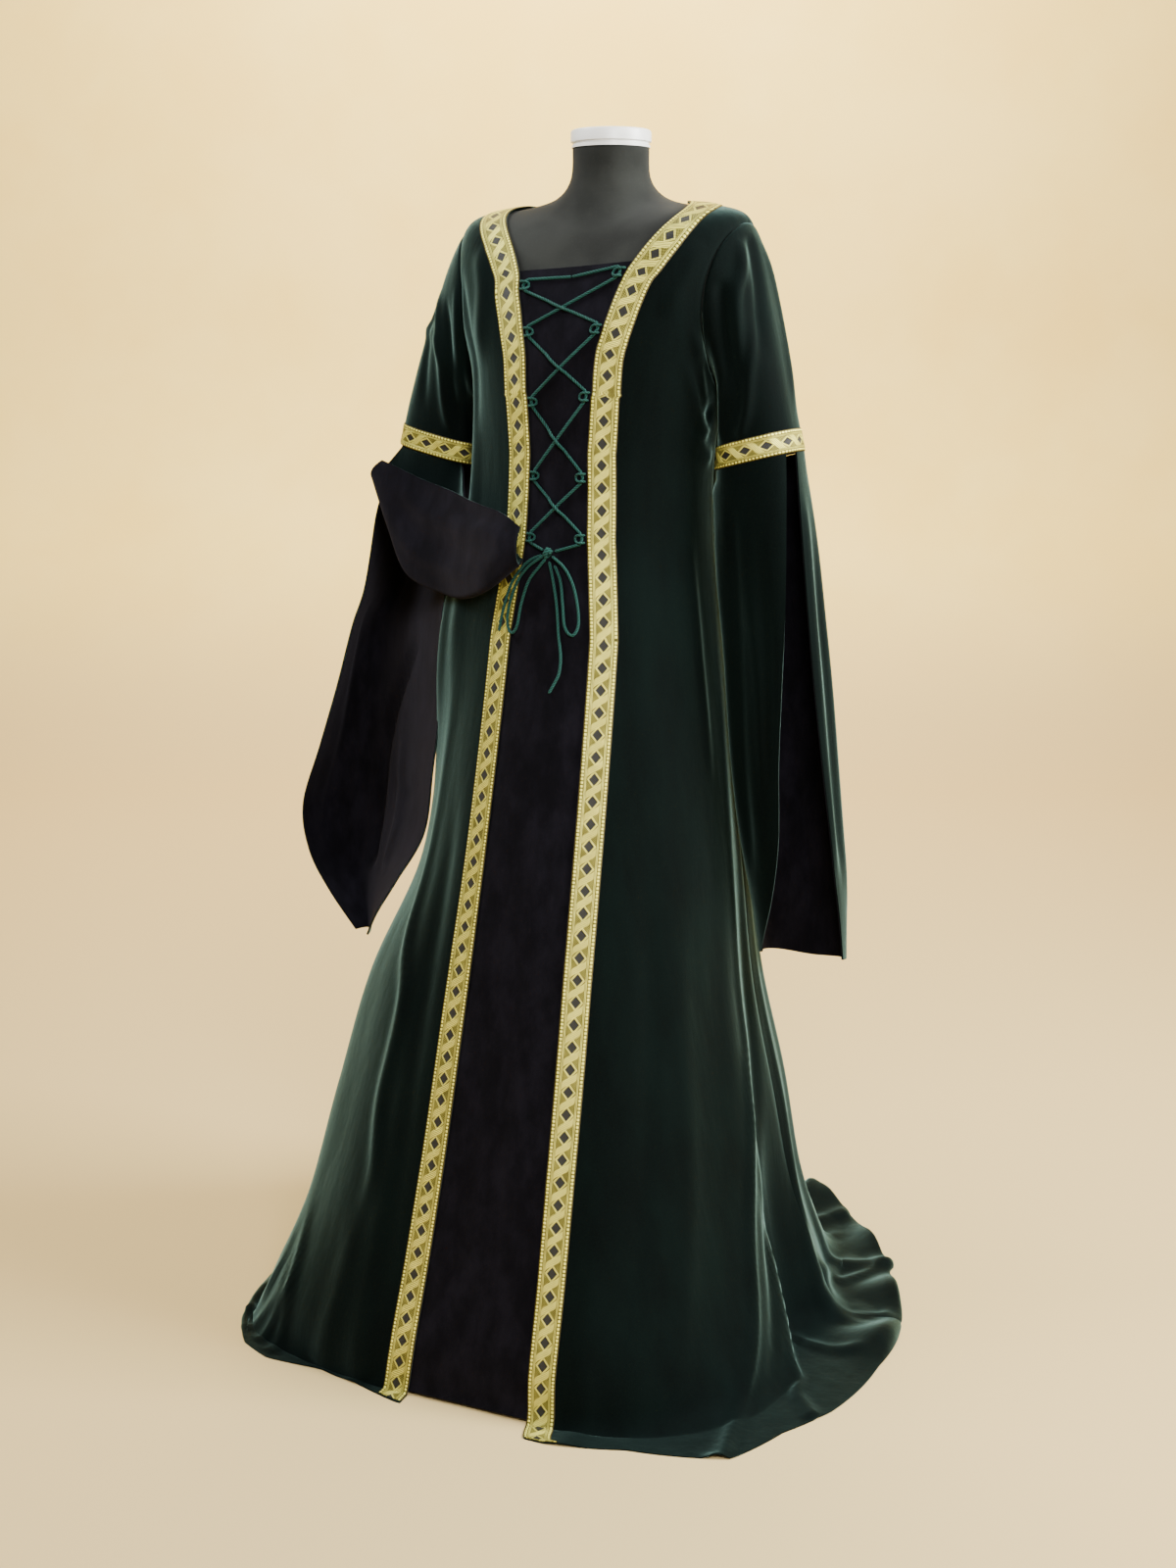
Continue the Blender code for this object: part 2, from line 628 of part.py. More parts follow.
def row_columns(edge, outer, distances):
    """Angles and rings at distances along each row, given by a function of its length."""
    ways = np.linspace(0, 1, MEASURING_POINTS)
    angle, ring = row_place(edge, outer, ways)
    steps = np.linalg.norm(np.diff(gown_point(angle, ring), axis=1), axis=-1)
    lengths = np.concatenate([np.zeros((len(edge), 1)), np.cumsum(steps, axis=1)], axis=1)
    chosen = []
    for row in range(len(edge)):
        chosen.append(np.interp(distances(row, lengths[row, -1]), lengths[row], ways))
    return row_place(edge, outer, np.array(chosen))


def edge_slant(edge, outer):
    """How much longer a strip's width is along a row than square to the front edge."""
    points = gown_point(edge[:, 0], edge[:, 1])
    down = np.gradient(points, axis=0)
    angle, ring = row_place(edge, outer, np.array([0.0, 0.1]))
    ends = gown_point(angle, ring)
    along = ends[:, 1] - ends[:, 0]
    cosine = (down * along).sum(-1) / (
        np.linalg.norm(down, axis=-1) * np.linalg.norm(along, axis=-1)
    )
    return 1 / np.sqrt(1 - cosine ** 2)


def front_grid(side):
    """Angles and rings of a front: its first three columns carry the braid."""
    edge, outer = front_rows(side)
    slant = edge_slant(edge, outer)

    def distances(row, length):
        braid = np.array([0, 0.5, 1]) * BRAID_WIDTH * slant[row]
        rest = np.linspace(braid[-1], length - SEAM / 2, FRONT_COLUMNS - 2)
        return np.concatenate([braid, rest[1:]])

    angle, ring = row_columns(edge, outer, distances)
    ring[0] += SHOULDER_GAP_RING
    return angle, ring


def back_grid(side):
    """Angles and rings of a back."""
    edge, outer = back_rows(side)

    def distances(row, length):
        return np.linspace(SEAM / 2, length - SEAM / 2, BACK_COLUMNS)

    angle, ring = row_columns(edge, outer, distances)
    for row in range(SHOULDER_ROWS):
        way = row / SHOULDER_ROWS
        turned = np.abs(np.degrees(angle[row])) - 90
        dip = (BACK_NECK_RING - NECK_RING) * (1 - way)
        plain = NECK_RING + (ARMHOLE_RING - ARMHOLE_HALF_RINGS - NECK_RING) * way
        ring[row] = plain + dip * smooth(0, 90, turned)
    angle[:SHOULDER_ROWS, -1] += SHOULDER_GAP_ANGLE * side
    return angle, ring


def centre_grid():
    """Angles and rings of the centre panel, which runs under both front edges."""
    left_angle, left_ring = front_grid(1)
    right_angle, right_ring = front_grid(-1)
    last = NECK_ROWS + int(np.argmin(np.abs(skirt_rings() - PANEL_HEM_RING))) + 1
    rows = slice(PANEL_TOP_ROW, last)
    ways = np.linspace(0, 1, PANEL_COLUMNS + 2)[None, 1:-1, None]
    left = gown_point(left_angle[rows, :1], left_ring[rows, :1])
    right = gown_point(right_angle[rows, :1], right_ring[rows, :1])
    inside = right + (left - right) * ways
    angle, ring = place_at(inside[..., 0], inside[..., 2])
    return (
        np.concatenate([right_angle[rows, 1::-1], angle, left_angle[rows, :2]], axis=1),
        np.concatenate([right_ring[rows, 1::-1], ring, left_ring[rows, :2]], axis=1),
    )


def add_panel(name, angle, ring, low, high, material, collection):
    """A wall of cloth between two heights over the gown's inner face."""
    outer = gown_surface(angle, ring, np.full(angle.shape, high))
    inner = gown_surface(angle, ring, np.full(angle.shape, low))
    return loft(name, outer, inner, material, collection)


def add_body(velvet, black, braid, collection):
    """The fronts, backs and centre panel, and the braid that lies on them."""
    low = VELVET + SEAM
    high = low + BRAID
    for side, word in ((1, "left"), (-1, "right")):
        angle, ring = front_grid(side)
        add_panel("front_" + word, angle, ring, 0, VELVET, velvet, collection)
        add_panel(
            "braid_" + word, angle[:-1, :3], ring[:-1, :3], low, high, braid, collection
        )
        angle, ring = back_grid(side)
        add_panel("back_" + word, angle, ring, 0, VELVET, velvet, collection)
    angle, ring = centre_grid()
    add_panel("centre_panel", angle, ring, -SEAM - LINING, -SEAM, black, collection)
    left_angle, left_ring = back_grid(1)
    right_angle, right_ring = back_grid(-1)
    neck = slice(0, 2)
    angle = np.concatenate([
        left_angle[neck, ::-1], right_angle[neck] + 2 * math.pi,
    ], axis=1)
    ring = np.concatenate([left_ring[neck, ::-1], right_ring[neck]], axis=1)
    add_panel("braid_back_neck", angle, ring, low, high, braid, collection)


# Sleeves

def sleeve_end(turn, side):
    """Point on the lower edge of an upper sleeve: turn 0 outside, a quarter in front."""
    turn = np.asarray(turn, float)
    across = np.cos(2 * math.pi * turn)
    ahead = np.sin(2 * math.pi * turn)
    reach = (
        np.abs(across / SLEEVE_HALF_X[side]) ** SLEEVE_SQUARE
        + np.abs(ahead / SLEEVE_HALF_Y) ** SLEEVE_SQUARE
    ) ** (-1 / SLEEVE_SQUARE)
    return np.stack([
        side * (SLEEVE_CENTRE_X[side] + reach * across),
        -reach * ahead,
        SLEEVE_END_Z + SLEEVE_END_SLOPE * reach * across,
    ], -1)


def upper_sleeve_point(turn, down, side):
    """Point on the outer face of an upper sleeve, from 0 at the armhole to 1 at its end."""
    turn, down = np.broadcast_arrays(np.asarray(turn, float), np.asarray(down, float))
    angle, ring = armhole(turn, side, SLEEVE_HEAD_SHARE)
    start = gown_surface(angle, ring, np.full(turn.shape, VELVET))
    end = sleeve_end(turn, side)
    top = (1 + np.cos(2 * math.pi * turn)) / 2
    zero = np.zeros_like(top)

    def handle(pair):
        return pair[0] + pair[1] * top

    leave = np.stack([side * handle(LEAVE_OUT), zero, -handle(LEAVE_DOWN)], -1)
    arrive = np.stack([-side * handle(ARRIVE_OUT), zero, handle(ARRIVE_DOWN)], -1)
    way = down[..., None]
    return (
        start * (1 - way) ** 3
        + 3 * (start + leave) * way * (1 - way) ** 2
        + 3 * (end + arrive) * way ** 2 * (1 - way)
        + end * way ** 3
    )


def left_hang_point(turn, row):
    """Point on the outer face of the lower sleeve that hangs straight."""
    turn, row = np.broadcast_arrays(np.asarray(turn, float), np.asarray(row, float))
    height, centre_x, centre_y, half_x, half_y = np.moveaxis(
        blend_rows(LEFT_HANG, row), -1, 0
    )[:5]
    across = np.cos(2 * math.pi * turn)
    ahead = np.sin(2 * math.pi * turn)
    reach = (
        np.abs(across / half_x) ** SLEEVE_SQUARE + np.abs(ahead / half_y) ** SLEEVE_SQUARE
    ) ** (-1 / SLEEVE_SQUARE)
    slope = SLEEVE_END_SLOPE * (1 - smooth(0, LEFT_SLOPE_ROWS, row))
    height = height - LEFT_HEM_SAG * (1 - ahead) / 2 * smooth(*LEFT_SAG_ROWS, row)
    return np.stack([
        centre_x + reach * across,
        centre_y - reach * ahead,
        height + slope * reach * across,
    ], -1)


def right_hang_point(turn, row):
    """Point on the outer face of the hanging half of the other lower sleeve."""
    turn, row = np.broadcast_arrays(np.asarray(turn, float), np.asarray(row, float))
    height, inner_x, inner_y, deep_x, deep_y, outer_x, outer_y = np.moveaxis(
        blend_rows(RIGHT_HANG, np.maximum(row - 1, 0)), -1, 0
    )
    inner = np.stack([inner_x, inner_y, height], -1)
    deep = np.stack([deep_x, deep_y, height], -1)
    outer = np.stack([outer_x, outer_y, height], -1)
    way = ((turn - 0.5) / (0.5 + SLIT_BACK_TURN))[..., None]
    middle = 2 * deep - (inner + outer) / 2
    section = inner * (1 - way) ** 2 + 2 * middle * way * (1 - way) + outer * way ** 2
    top = sleeve_end(turn, -1)
    top[..., 2] -= SEAM
    share = smooth(0, RIGHT_TOP_ROWS, row)[..., None]
    return top * (1 - share) + section * share


def flap_point(station, across):
    """Point on the lining's face of the half that is turned up, from its upper edge."""
    station, across = np.broadcast_arrays(
        np.asarray(station, float), np.asarray(across, float)
    )
    table = blend_rows(RIGHT_FLAP, station)
    edge, fold, back = table[..., :3], table[..., 3:6], table[..., 6:]
    ahead = blend_rows(RIGHT_FLAP, station + STATION_STEP)
    path = ahead - blend_rows(RIGHT_FLAP, station - STATION_STEP)
    front = np.stack([path[..., 4], -path[..., 3], np.zeros(station.shape)], -1)
    front /= np.linalg.norm(front, axis=-1, keepdims=True)
    rise = np.array([0, 0, FOLD_RADIUS])
    front_foot = fold + front * FOLD_RADIUS + rise
    back_foot = fold - front * FOLD_RADIUS + rise
    swell = front * FLAP_SWELL
    stops = np.stack([
        edge,
        edge + (front_foot - edge) / 3 + swell,
        edge + (front_foot - edge) * 2 / 3 + swell,
        front_foot,
        fold,
        back_foot,
        (back_foot + back) / 2,
        back,
    ])
    points = np.empty(station.shape + (3,))
    for spot in np.ndindex(station.shape):
        points[spot] = blend_rows(stops[(slice(None), *spot)], across[spot])
    return points


def add_wall(
    name, point_of, first, second, low, high, turned, material, collection,
    ring=False, level=None,
):
    """A wall of cloth between two depths under a surface's outer face.

    The row given as level is cut flat, so that the next piece of the sleeve meets it.
    """
    normal = outward(point_of, first, second, SLEEVE_STEP) * turned
    if level is not None:
        normal[level, :, 2] = 0
        normal[level] /= np.linalg.norm(normal[level], axis=-1, keepdims=True)
    points = point_of(first, second)
    return loft(
        name, points - normal * low, points - normal * high, material, collection, ring
    )


def add_sleeve(
    name, point_of, first, second, turned, materials, collection,
    inside_out=False, level=None,
):
    """A half of a lower sleeve: velvet and its lining, 0.3 mm apart."""
    velvet, black = materials
    layers = [("lower_sleeve_", VELVET, velvet), ("lower_sleeve_lining_", LINING, black)]
    depth = 0
    for prefix, wall, material in reversed(layers) if inside_out else layers:
        add_wall(
            prefix + name, point_of, first, second, depth, depth + wall, turned,
            material, collection, level=level,
        )
        depth += wall + SEAM


def add_sleeves(velvet, black, braid, collection):
    """Both upper sleeves with their bands, and the lower sleeves."""
    turns = armhole_turns()
    for side, word in ((1, "left"), (-1, "right")):
        def point_of(turn, down):
            return upper_sleeve_point(turn, down, side)

        share = band_share(turns, side)
        ways = np.linspace(0, 1, UPPER_SLEEVE_ROWS)[:, None]
        first = np.repeat(turns[None], UPPER_SLEEVE_ROWS + 1, axis=0)
        second = np.concatenate([ways * share, np.ones((1, len(turns)))])
        add_wall(
            "upper_sleeve_" + word, point_of, first, second, 0, VELVET, -side,
            velvet, collection, ring=True, level=-1,
        )
        add_wall(
            "sleeve_band_" + word, point_of, first[-2:], second[-2:], -SEAM - BRAID, -SEAM,
            -side, braid, collection, ring=True, level=-1,
        )

    rows = np.linspace(0, len(LEFT_HANG) - 1, HANG_ROWS)
    angles = blend_rows(LEFT_HANG, rows)
    for word, from_turn, to_turn in (
        ("left_front", angles[:, 6] / 360, np.full(HANG_ROWS, 0.5 - SEAM)),
        ("left_back", np.full(HANG_ROWS, 0.5 + SEAM), 1 + angles[:, 5] / 360),
    ):
        ways = np.linspace(0, 1, HANG_COLUMNS)
        first = from_turn[:, None] + (to_turn - from_turn)[:, None] * ways
        second = np.repeat(rows[:, None], HANG_COLUMNS, axis=1)
        add_sleeve(
            word, left_hang_point, first, second, -1, (velvet, black), collection, level=0,
        )

    first, second = np.meshgrid(
        np.linspace(0.5, 1 + SLIT_BACK_TURN, TURNED_COLUMNS),
        np.linspace(0, len(RIGHT_HANG), TURNED_ROWS),
    )
    add_sleeve(
        "right_back", right_hang_point, first, second, 1, (velvet, black), collection,
        level=0,
    )

    first, second = np.meshgrid(
        np.linspace(0, len(RIGHT_FLAP) - 1, FLAP_STATIONS), FLAP_ACROSS
    )
    add_sleeve(
        "right_front", flap_point, first, second, 1, (velvet, black), collection,
        inside_out=True,
    )


def band_share(turns, side):
    """Place down the upper sleeve where its band begins, at each turn."""
    ways = np.linspace(1, 0, MEASURING_POINTS)
    share = []
    for turn in turns:
        points = upper_sleeve_point(turn, ways, side)
        rest = np.cumsum(np.linalg.norm(np.diff(points, axis=0), axis=-1))
        share.append(np.interp(BAND_HEIGHT, rest, ways[1:]))
    return np.array(share)


# Lacing

def place_at(x, z, lift=0.0):
    """Angle and ring under the point on the front of the gown with this x and height."""
    x, z, lift = np.broadcast_arrays(
        np.asarray(x, float), np.asarray(z, float), np.asarray(lift, float)
    )
    ring = np.interp(
        -z, -np.array(GOWN_RINGS)[TOP_RING:FLOOR_RING, 1],
        np.arange(TOP_RING, FLOOR_RING),
    )
    reach = GOWN_RINGS[FLOOR_RING // 2][FRONT_DEPTH_PART]
    angle = x / reach
    for _ in range(SEARCH_ROUNDS):
        point = gown_surface(angle, ring, lift)
        below = gown_surface(angle, ring + STATION_STEP, lift)
        slope = np.maximum((point[..., 2] - below[..., 2]) / STATION_STEP, LEAST_SLOPE)
        ring = ring + SEARCH_CAUTION * (point[..., 2] - z) / slope
        reach = np.maximum(-point[..., 1], LEAST_REACH)
        angle = angle + (x - point[..., 0]) / reach * np.cos(angle) ** 2
    return angle, ring


def over_cloth(x, z, lift):
    """Point with this x and height, at a distance over the gown's inner face."""
    angle, ring = place_at(x, z, lift)
    return gown_surface(angle, ring, lift)


def edge_line(side):
    """Heights and x of the braid's front edge, from the hem up."""
    angle, ring = front_rows(side)[0].T
    points = gown_surface(angle, ring, np.full(angle.shape, VELVET + SEAM + BRAID / 2))
    return points[::-1, 2], points[::-1, 0]


def beside_edge(edges, side, height, inset):
    """The x of a point inside the braid's front edge, square to the edge."""
    above = height + LACE_RISE
    below = height - LACE_RISE
    line = np.interp([height, above, below], *edges[side])
    slant = (line[1] - line[2]) / (above - below)
    return line[0] - side * inset * math.hypot(1, slant)


def lace_path(first_side, edges):
    """Route of half the lace, from the middle of the top bar down to the knot."""
    low = CORD / 2 + LACE_CLEARANCE
    over = low + CORD + SEAM
    heights = {1: LACE_HEIGHTS_LEFT, -1: LACE_HEIGHTS_RIGHT}

    def stop(side, height, inset):
        return (beside_edge(edges, side, height, inset), height, low)

    side = first_side
    height = heights[side][0]
    stops = [
        (TOP_BAR_MIDDLE[0] + side * SEAM, TOP_BAR_MIDDLE[1], low),
        stop(side, height + LACE_RISE, BAR_TURN),
        stop(side, height, LACE_INSET),
    ]
    for row in range(1, len(LACE_HEIGHTS_LEFT)):
        start = stop(side, height - LACE_RISE, LACE_TURN)
        over_other = (row % 2 == 0) == (first_side > 0)
        crossing = over if over_other else low
        side = -side
        height = heights[side][row]
        end = stop(side, height + LACE_RISE, LACE_TURN)
        stops.append(start)
        for way, lift in zip(CROSSING_WAYS, (low, crossing, crossing, low)):
            x = start[0] + (end[0] - start[0]) * way
            z = start[1] + (end[1] - start[1]) * way
            stops.append((x, z, lift))
        stops.append(end)
        stops.append(stop(side, height, LACE_INSET))
    last = stop(side, height - LACE_RISE, LACE_TURN)
    stops.append(last)
    away = np.array(last[:2]) - KNOT
    away = away * (KNOT_RADIUS + CORD / 2 + SEAM) / np.linalg.norm(away)
    stops.append((KNOT[0] + away[0], KNOT[1] + away[1], KNOT_LIFT))
    table = np.array(stops)
    return over_cloth(table[:, 0], table[:, 1], table[:, 2])


def loop_path(side, height, edges):
    """A small loop of cord over the lace's turn at a front edge."""
    legs = [(LOOP_HALF_HEIGHT, spot) for spot in LOOP_ARCH]
    legs += [(-LOOP_HALF_HEIGHT, spot) for spot in LOOP_ARCH[::-1]]
    stops = []
    for rise, (inset, lift) in legs:
        if inset == LOOP_ARCH[-1][0]:
            rise = rise / 2
        stops.append((beside_edge(edges, side, height + rise, inset), height + rise, lift))
    table = np.array(stops)
    return over_cloth(table[:, 0], table[:, 1], table[:, 2])


def add_lacing(cord, collection):
    """The lace with its loops, knot, bow and two ends."""
    edges = {side: edge_line(side) for side in (1, -1)}
    for side, word in ((1, "left"), (-1, "right")):
        tube("lace_" + word, lace_path(side, edges), CORD, cord, collection)
        heights = LACE_HEIGHTS_LEFT if side > 0 else LACE_HEIGHTS_RIGHT
        for row, height in enumerate(heights):
            tube(
                f"lace_loop_{word}_{row + 1}", loop_path(side, height, edges), LOOP_CORD,
                cord, collection,
            )
        bow, end = (BOW_LEFT, END_LEFT) if side > 0 else (BOW_RIGHT, END_RIGHT)
        for name, stops in (("bow_" + word, bow), ("lace_end_" + word, end)):
            table = np.array(stops)
            points = over_cloth(table[:, 0], table[:, 1], table[:, 2])
            tube(name, points, CORD, cord, collection)
    middle = over_cloth(KNOT[0], KNOT[1], np.array(KNOT_RADIUS))
    bpy.ops.mesh.primitive_uv_sphere_add(
        segments=KNOT_SIDES, ring_count=KNOT_ROWS, radius=KNOT_RADIUS, location=middle
    )
    knot = bpy.context.object
    knot.name = "bow_knot"
    knot.data.materials.append(cord)
    move_to(knot, collection)


# Dress form and stand

def move_to(piece, collection):
    """Moves a new object out of the scene's own collection."""
    for old in list(piece.users_collection):
        old.objects.unlink(piece)
    collection.objects.link(piece)


def add_form(dark, metal, collection):
    """The limbless torso with its cap, on a pole and a round base."""
    angles = np.linspace(-math.pi, math.pi, FORM_SIDES, endpoint=False)
    rings = np.linspace(0, len(FORM_RINGS) - 1, FORM_ROWS)
    first, second = np.meshgrid(angles, rings)

    def form_point(angle, ring):
        return ring_point(FORM_RINGS, angle, ring, folds=False)

    normal = outward(form_point, first, second, BODY_STEP)
    front = 1 - smooth(*FORM_FRONT_ANGLES, np.abs(np.degrees(first)))
    rest = (FORM_REST + FORM_FRONT_REST * front)[..., None]
    points = form_point(first, second) - normal * rest
    points[-1, :, 2] = FORM_BOTTOM
    points[0, :, 2] = FORM_RINGS[0][0]
    count = len(angles)
    faces = [list(range(count)), list(range(points.size // 3 - count, points.size // 3))]
    for row in range(FORM_ROWS - 1):
        for column in range(count):
            after = (column + 1) % count
            faces.append([
                row * count + column, (row + 1) * count + column,
                (row + 1) * count + after, row * count + after,
            ])
    mesh = bpy.data.meshes.new("form_torso")
    mesh.from_pydata(points.reshape(-1, 3).tolist(), [], faces)
    face_outward(mesh)
    add_object("form_torso", mesh, dark, collection)

    cylinder(
        "form_cap", CAP_RADIUS, FORM_RINGS[0][0] + SEAM, CAP_HEIGHT, FORM_RINGS[0][3],
        metal, collection,
    )
    pole_bottom = BASE_THICKNESS + SEAM
    cylinder(
        "stand_pole", POLE_RADIUS, pole_bottom, FORM_BOTTOM - SEAM - pole_bottom, 0,
        metal, collection,
    )
    cylinder("stand_base", BASE_RADIUS, 0, BASE_THICKNESS, 0, metal, collection)


def cylinder(name, radius, bottom, height, centre_y, material, collection):
    """An upright cylinder that stands at a height."""
    bpy.ops.mesh.primitive_cylinder_add(
        vertices=32, radius=radius, depth=height,
        location=(0, centre_y, bottom + height / 2),
    )
    piece = bpy.context.object
    piece.name = name
    piece.data.materials.append(material)
    move_to(piece, collection)


def main():
    for item in list(bpy.data.objects):
        bpy.data.objects.remove(item)
    gown = make_collection("velvet_gown")
    velvet = make_material("velvet", VELVET_COLOUR, 0.9)
    black = make_material("black_cloth", BLACK_CLOTH_COLOUR, 0.95)
    braid = make_material("gold_braid", BRAID_COLOUR, 0.45, 0.4)
    cord = make_material("green_cord", CORD_COLOUR, 0.6)
    dark = make_material("form_cloth", FORM_COLOUR, 0.9)
    metal = make_material("brushed_metal", METAL_COLOUR, 0.35, 1.0)
    add_form(dark, metal, gown)
    add_body(velvet, black, braid, gown)
    add_sleeves(velvet, black, braid, gown)
    add_lacing(cord, gown)


main()
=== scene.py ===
"""Looks of the velvet gown with hanging sleeves and a laced front, on a limbless dress form.

Metres, +Z up. The front looks along -Y, so the wearer's left is +X. Round the body an angle
is measured from the centre front, positive towards the wearer's left. Rings are counted
from the neck down.
"""

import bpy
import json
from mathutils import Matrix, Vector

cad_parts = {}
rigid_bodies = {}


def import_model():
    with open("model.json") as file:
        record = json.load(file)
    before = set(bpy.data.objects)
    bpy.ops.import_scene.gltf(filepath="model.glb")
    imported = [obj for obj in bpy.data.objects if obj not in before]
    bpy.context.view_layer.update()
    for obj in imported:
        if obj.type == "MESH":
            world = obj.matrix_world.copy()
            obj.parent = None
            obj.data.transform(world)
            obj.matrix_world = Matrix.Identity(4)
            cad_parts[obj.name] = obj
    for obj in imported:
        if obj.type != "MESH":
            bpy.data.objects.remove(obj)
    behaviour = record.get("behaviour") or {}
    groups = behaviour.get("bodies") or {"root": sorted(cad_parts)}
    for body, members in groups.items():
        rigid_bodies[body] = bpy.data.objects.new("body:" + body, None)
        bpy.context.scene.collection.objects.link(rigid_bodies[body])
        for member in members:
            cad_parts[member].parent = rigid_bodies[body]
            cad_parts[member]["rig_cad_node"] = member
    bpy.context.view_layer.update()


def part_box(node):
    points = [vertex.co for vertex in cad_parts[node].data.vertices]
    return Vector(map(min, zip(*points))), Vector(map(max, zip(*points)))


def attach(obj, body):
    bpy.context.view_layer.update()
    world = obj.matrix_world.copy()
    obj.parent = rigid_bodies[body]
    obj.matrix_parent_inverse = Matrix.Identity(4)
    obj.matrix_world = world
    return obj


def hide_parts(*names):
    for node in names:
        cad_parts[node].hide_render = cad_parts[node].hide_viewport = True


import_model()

import json
import math

import bpy
import numpy as np
from mathutils import Vector

BODY = "root"
SIDES = ((1, "left"), (-1, "right"))

# Camera: its turn to the wearer's left, its look down, its place and its lens
CAMERA_YAW = 25.0
CAMERA_PITCH = 12.0
CAMERA_DISTANCE = 2.6
CAMERA_SIDE = -0.020
CAMERA_HEIGHT = 1.25
CAMERA_LENS = 46.575
CAMERA_SENSOR = 36.0

# Cloth, braid and cord: thicknesses, the gap at a seam, widths, and a slit's turn to the back
VELVET = 0.0014
LINING = 0.0010
BRAID = 0.0012
SEAM = 0.0003
BRAID_WIDTH = 0.035
BAND_HEIGHT = 0.028
SLIT_BACK_TURN = 0.03
CORD = 0.0038
LOOP_CORD = 0.0030
POLE_RADIUS = 0.016
FORM_BOTTOM = 0.735


def level(height, *sizes):
    """A ring at one height all round, with its centre on the axis."""
    return (height, height, height, 0.0, *sizes)


# Rings from the neck down: height at the side, in front and behind, the centre's y, half width
# to the wearer's left and right, depth in front and behind, squareness in front and behind
SHOULDER_RINGS = (
    (1.497, 1.497, 1.497, 0.020, 0.049, 0.049, 0.049, 0.049, 2.0, 2.0),
    (1.462, 1.455, 1.466, 0.020, 0.051, 0.051, 0.053, 0.050, 2.0, 2.0),
    (1.441, 1.415, 1.448, 0.018, 0.068, 0.068, 0.068, 0.060, 2.0, 2.0),
    (1.430, 1.388, 1.434, 0.012, 0.100, 0.100, 0.084, 0.078, 2.0, 2.0),
    (1.424, 1.360, 1.414, 0.006, 0.146, 0.140, 0.096, 0.088, 2.1, 2.1),
    (1.409, 1.330, 1.386, 0.000, 0.186, 0.176, 0.108, 0.096, 2.2, 2.2),
    (1.364, 1.300, 1.344, 0.000, 0.196, 0.190, 0.119, 0.100, 2.3, 2.3),
    (1.295, 1.266, 1.292, 0.000, 0.184, 0.184, 0.128, 0.102, 2.3, 2.3),
    (1.225, 1.222, 1.228, 0.000, 0.168, 0.168, 0.132, 0.100, 2.2, 2.2),
)
FORM_RINGS = SHOULDER_RINGS + (
    level(1.130, 0.134, 0.134, 0.106, 0.090, 2.1, 2.1),
    level(1.030, 0.116, 0.116, 0.090, 0.088, 2.0, 2.0),
    level(0.900, 0.146, 0.146, 0.104, 0.100, 2.0, 2.0),
    level(FORM_BOTTOM, 0.148, 0.148, 0.104, 0.104, 2.0, 2.0),
)
GOWN_RINGS = SHOULDER_RINGS + (
    level(1.130, 0.150, 0.155, 0.133, 0.100, 2.1, 2.1),
    level(1.030, 0.147, 0.160, 0.142, 0.104, 2.0, 2.0),
    level(0.900, 0.159, 0.186, 0.166, 0.116, 2.0, 2.0),
    level(0.750, 0.175, 0.206, 0.200, 0.132, 2.0, 2.1),
    level(0.600, 0.190, 0.232, 0.236, 0.156, 2.1, 2.1),
    level(0.450, 0.206, 0.296, 0.272, 0.190, 2.3, 2.1),
    level(0.300, 0.236, 0.328, 0.311, 0.234, 2.5, 2.1),
    level(0.160, 0.260, 0.342, 0.350, 0.272, 3.0, 2.0),
    level(0.060, 0.290, 0.371, 0.382, 0.318, 3.4, 1.9),
    level(0.000, 0.318, 0.390, 0.394, 0.360, 3.6, 1.8),
    level(0.000, 0.365, 0.400, 0.405, 0.420, 3.6, 1.8),
    level(0.000, 0.410, 0.420, 0.420, 0.475, 3.6, 1.8),
)
FLOOR_RING = 18
HEM_RING = len(GOWN_RINGS) - 1
# The hem from above: angle in degrees, and distance from the axis
HEM_OUTLINE = (
    (-180, 0.472), (-165, 0.460), (-150, 0.436), (-135, 0.416), (-120, 0.409), (-105, 0.412),
    (-90, 0.425), (-75, 0.443), (-59, 0.472), (-51, 0.492), (-43, 0.500), (-37, 0.486),
    (-29, 0.436), (-20, 0.424), (-12, 0.425), (0, 0.412), (11, 0.434), (16, 0.444),
    (28, 0.452), (42, 0.493), (52, 0.463), (62, 0.455), (79, 0.428), (90, 0.420),
    (104, 0.407), (117, 0.397), (135, 0.404), (152, 0.434), (160, 0.438), (172, 0.462),
    (180, 0.472),
)
# Large folds: ring and angle of the head and of the foot, half width in degrees, height
SKIRT_FOLDS = (
    (11.5, 84, 20, 43, 9, 0.020),
    (14.0, 74, 20, 61, 6, 0.022),
    (14.5, 100, 20, 92, 9, 0.026),
    (14.0, 88, 19, 77, 9, -0.024),
    (11.5, -70, 20, -42, 9, 0.024),
    (14.5, -86, 20, -62, 9, -0.018),
    (13.5, -108, 20, -92, 9, 0.020),
    (12.5, 138, 20, 132, 12, 0.026),
    (12.0, 168, 20, 166, 9, 0.024),
    (12.0, -158, 20, -160, 10, 0.026),
    (12.5, -130, 20, -126, 12, 0.022),
    (12.0, 153, 20, 149, 9, -0.018),
    (12.0, -177, 20, -178, 9, -0.016),
    (12.0, -144, 20, -143, 9, -0.018),
)
# Fullness at the wearer's right side, where the cloth stands out to the hanging sleeve. The
# rows are the height at one ring after another, from the first ring on.
SIDE_DRAPE = ((0.0,), (0.0,), (0.012,), (0.020,), (0.021,), (0.009,), (0.001,), (0.0,))
SIDE_DRAPE_RING = 7
SIDE_DRAPE_ANGLE = -66
SIDE_DRAPE_HALF_WIDTH = 18
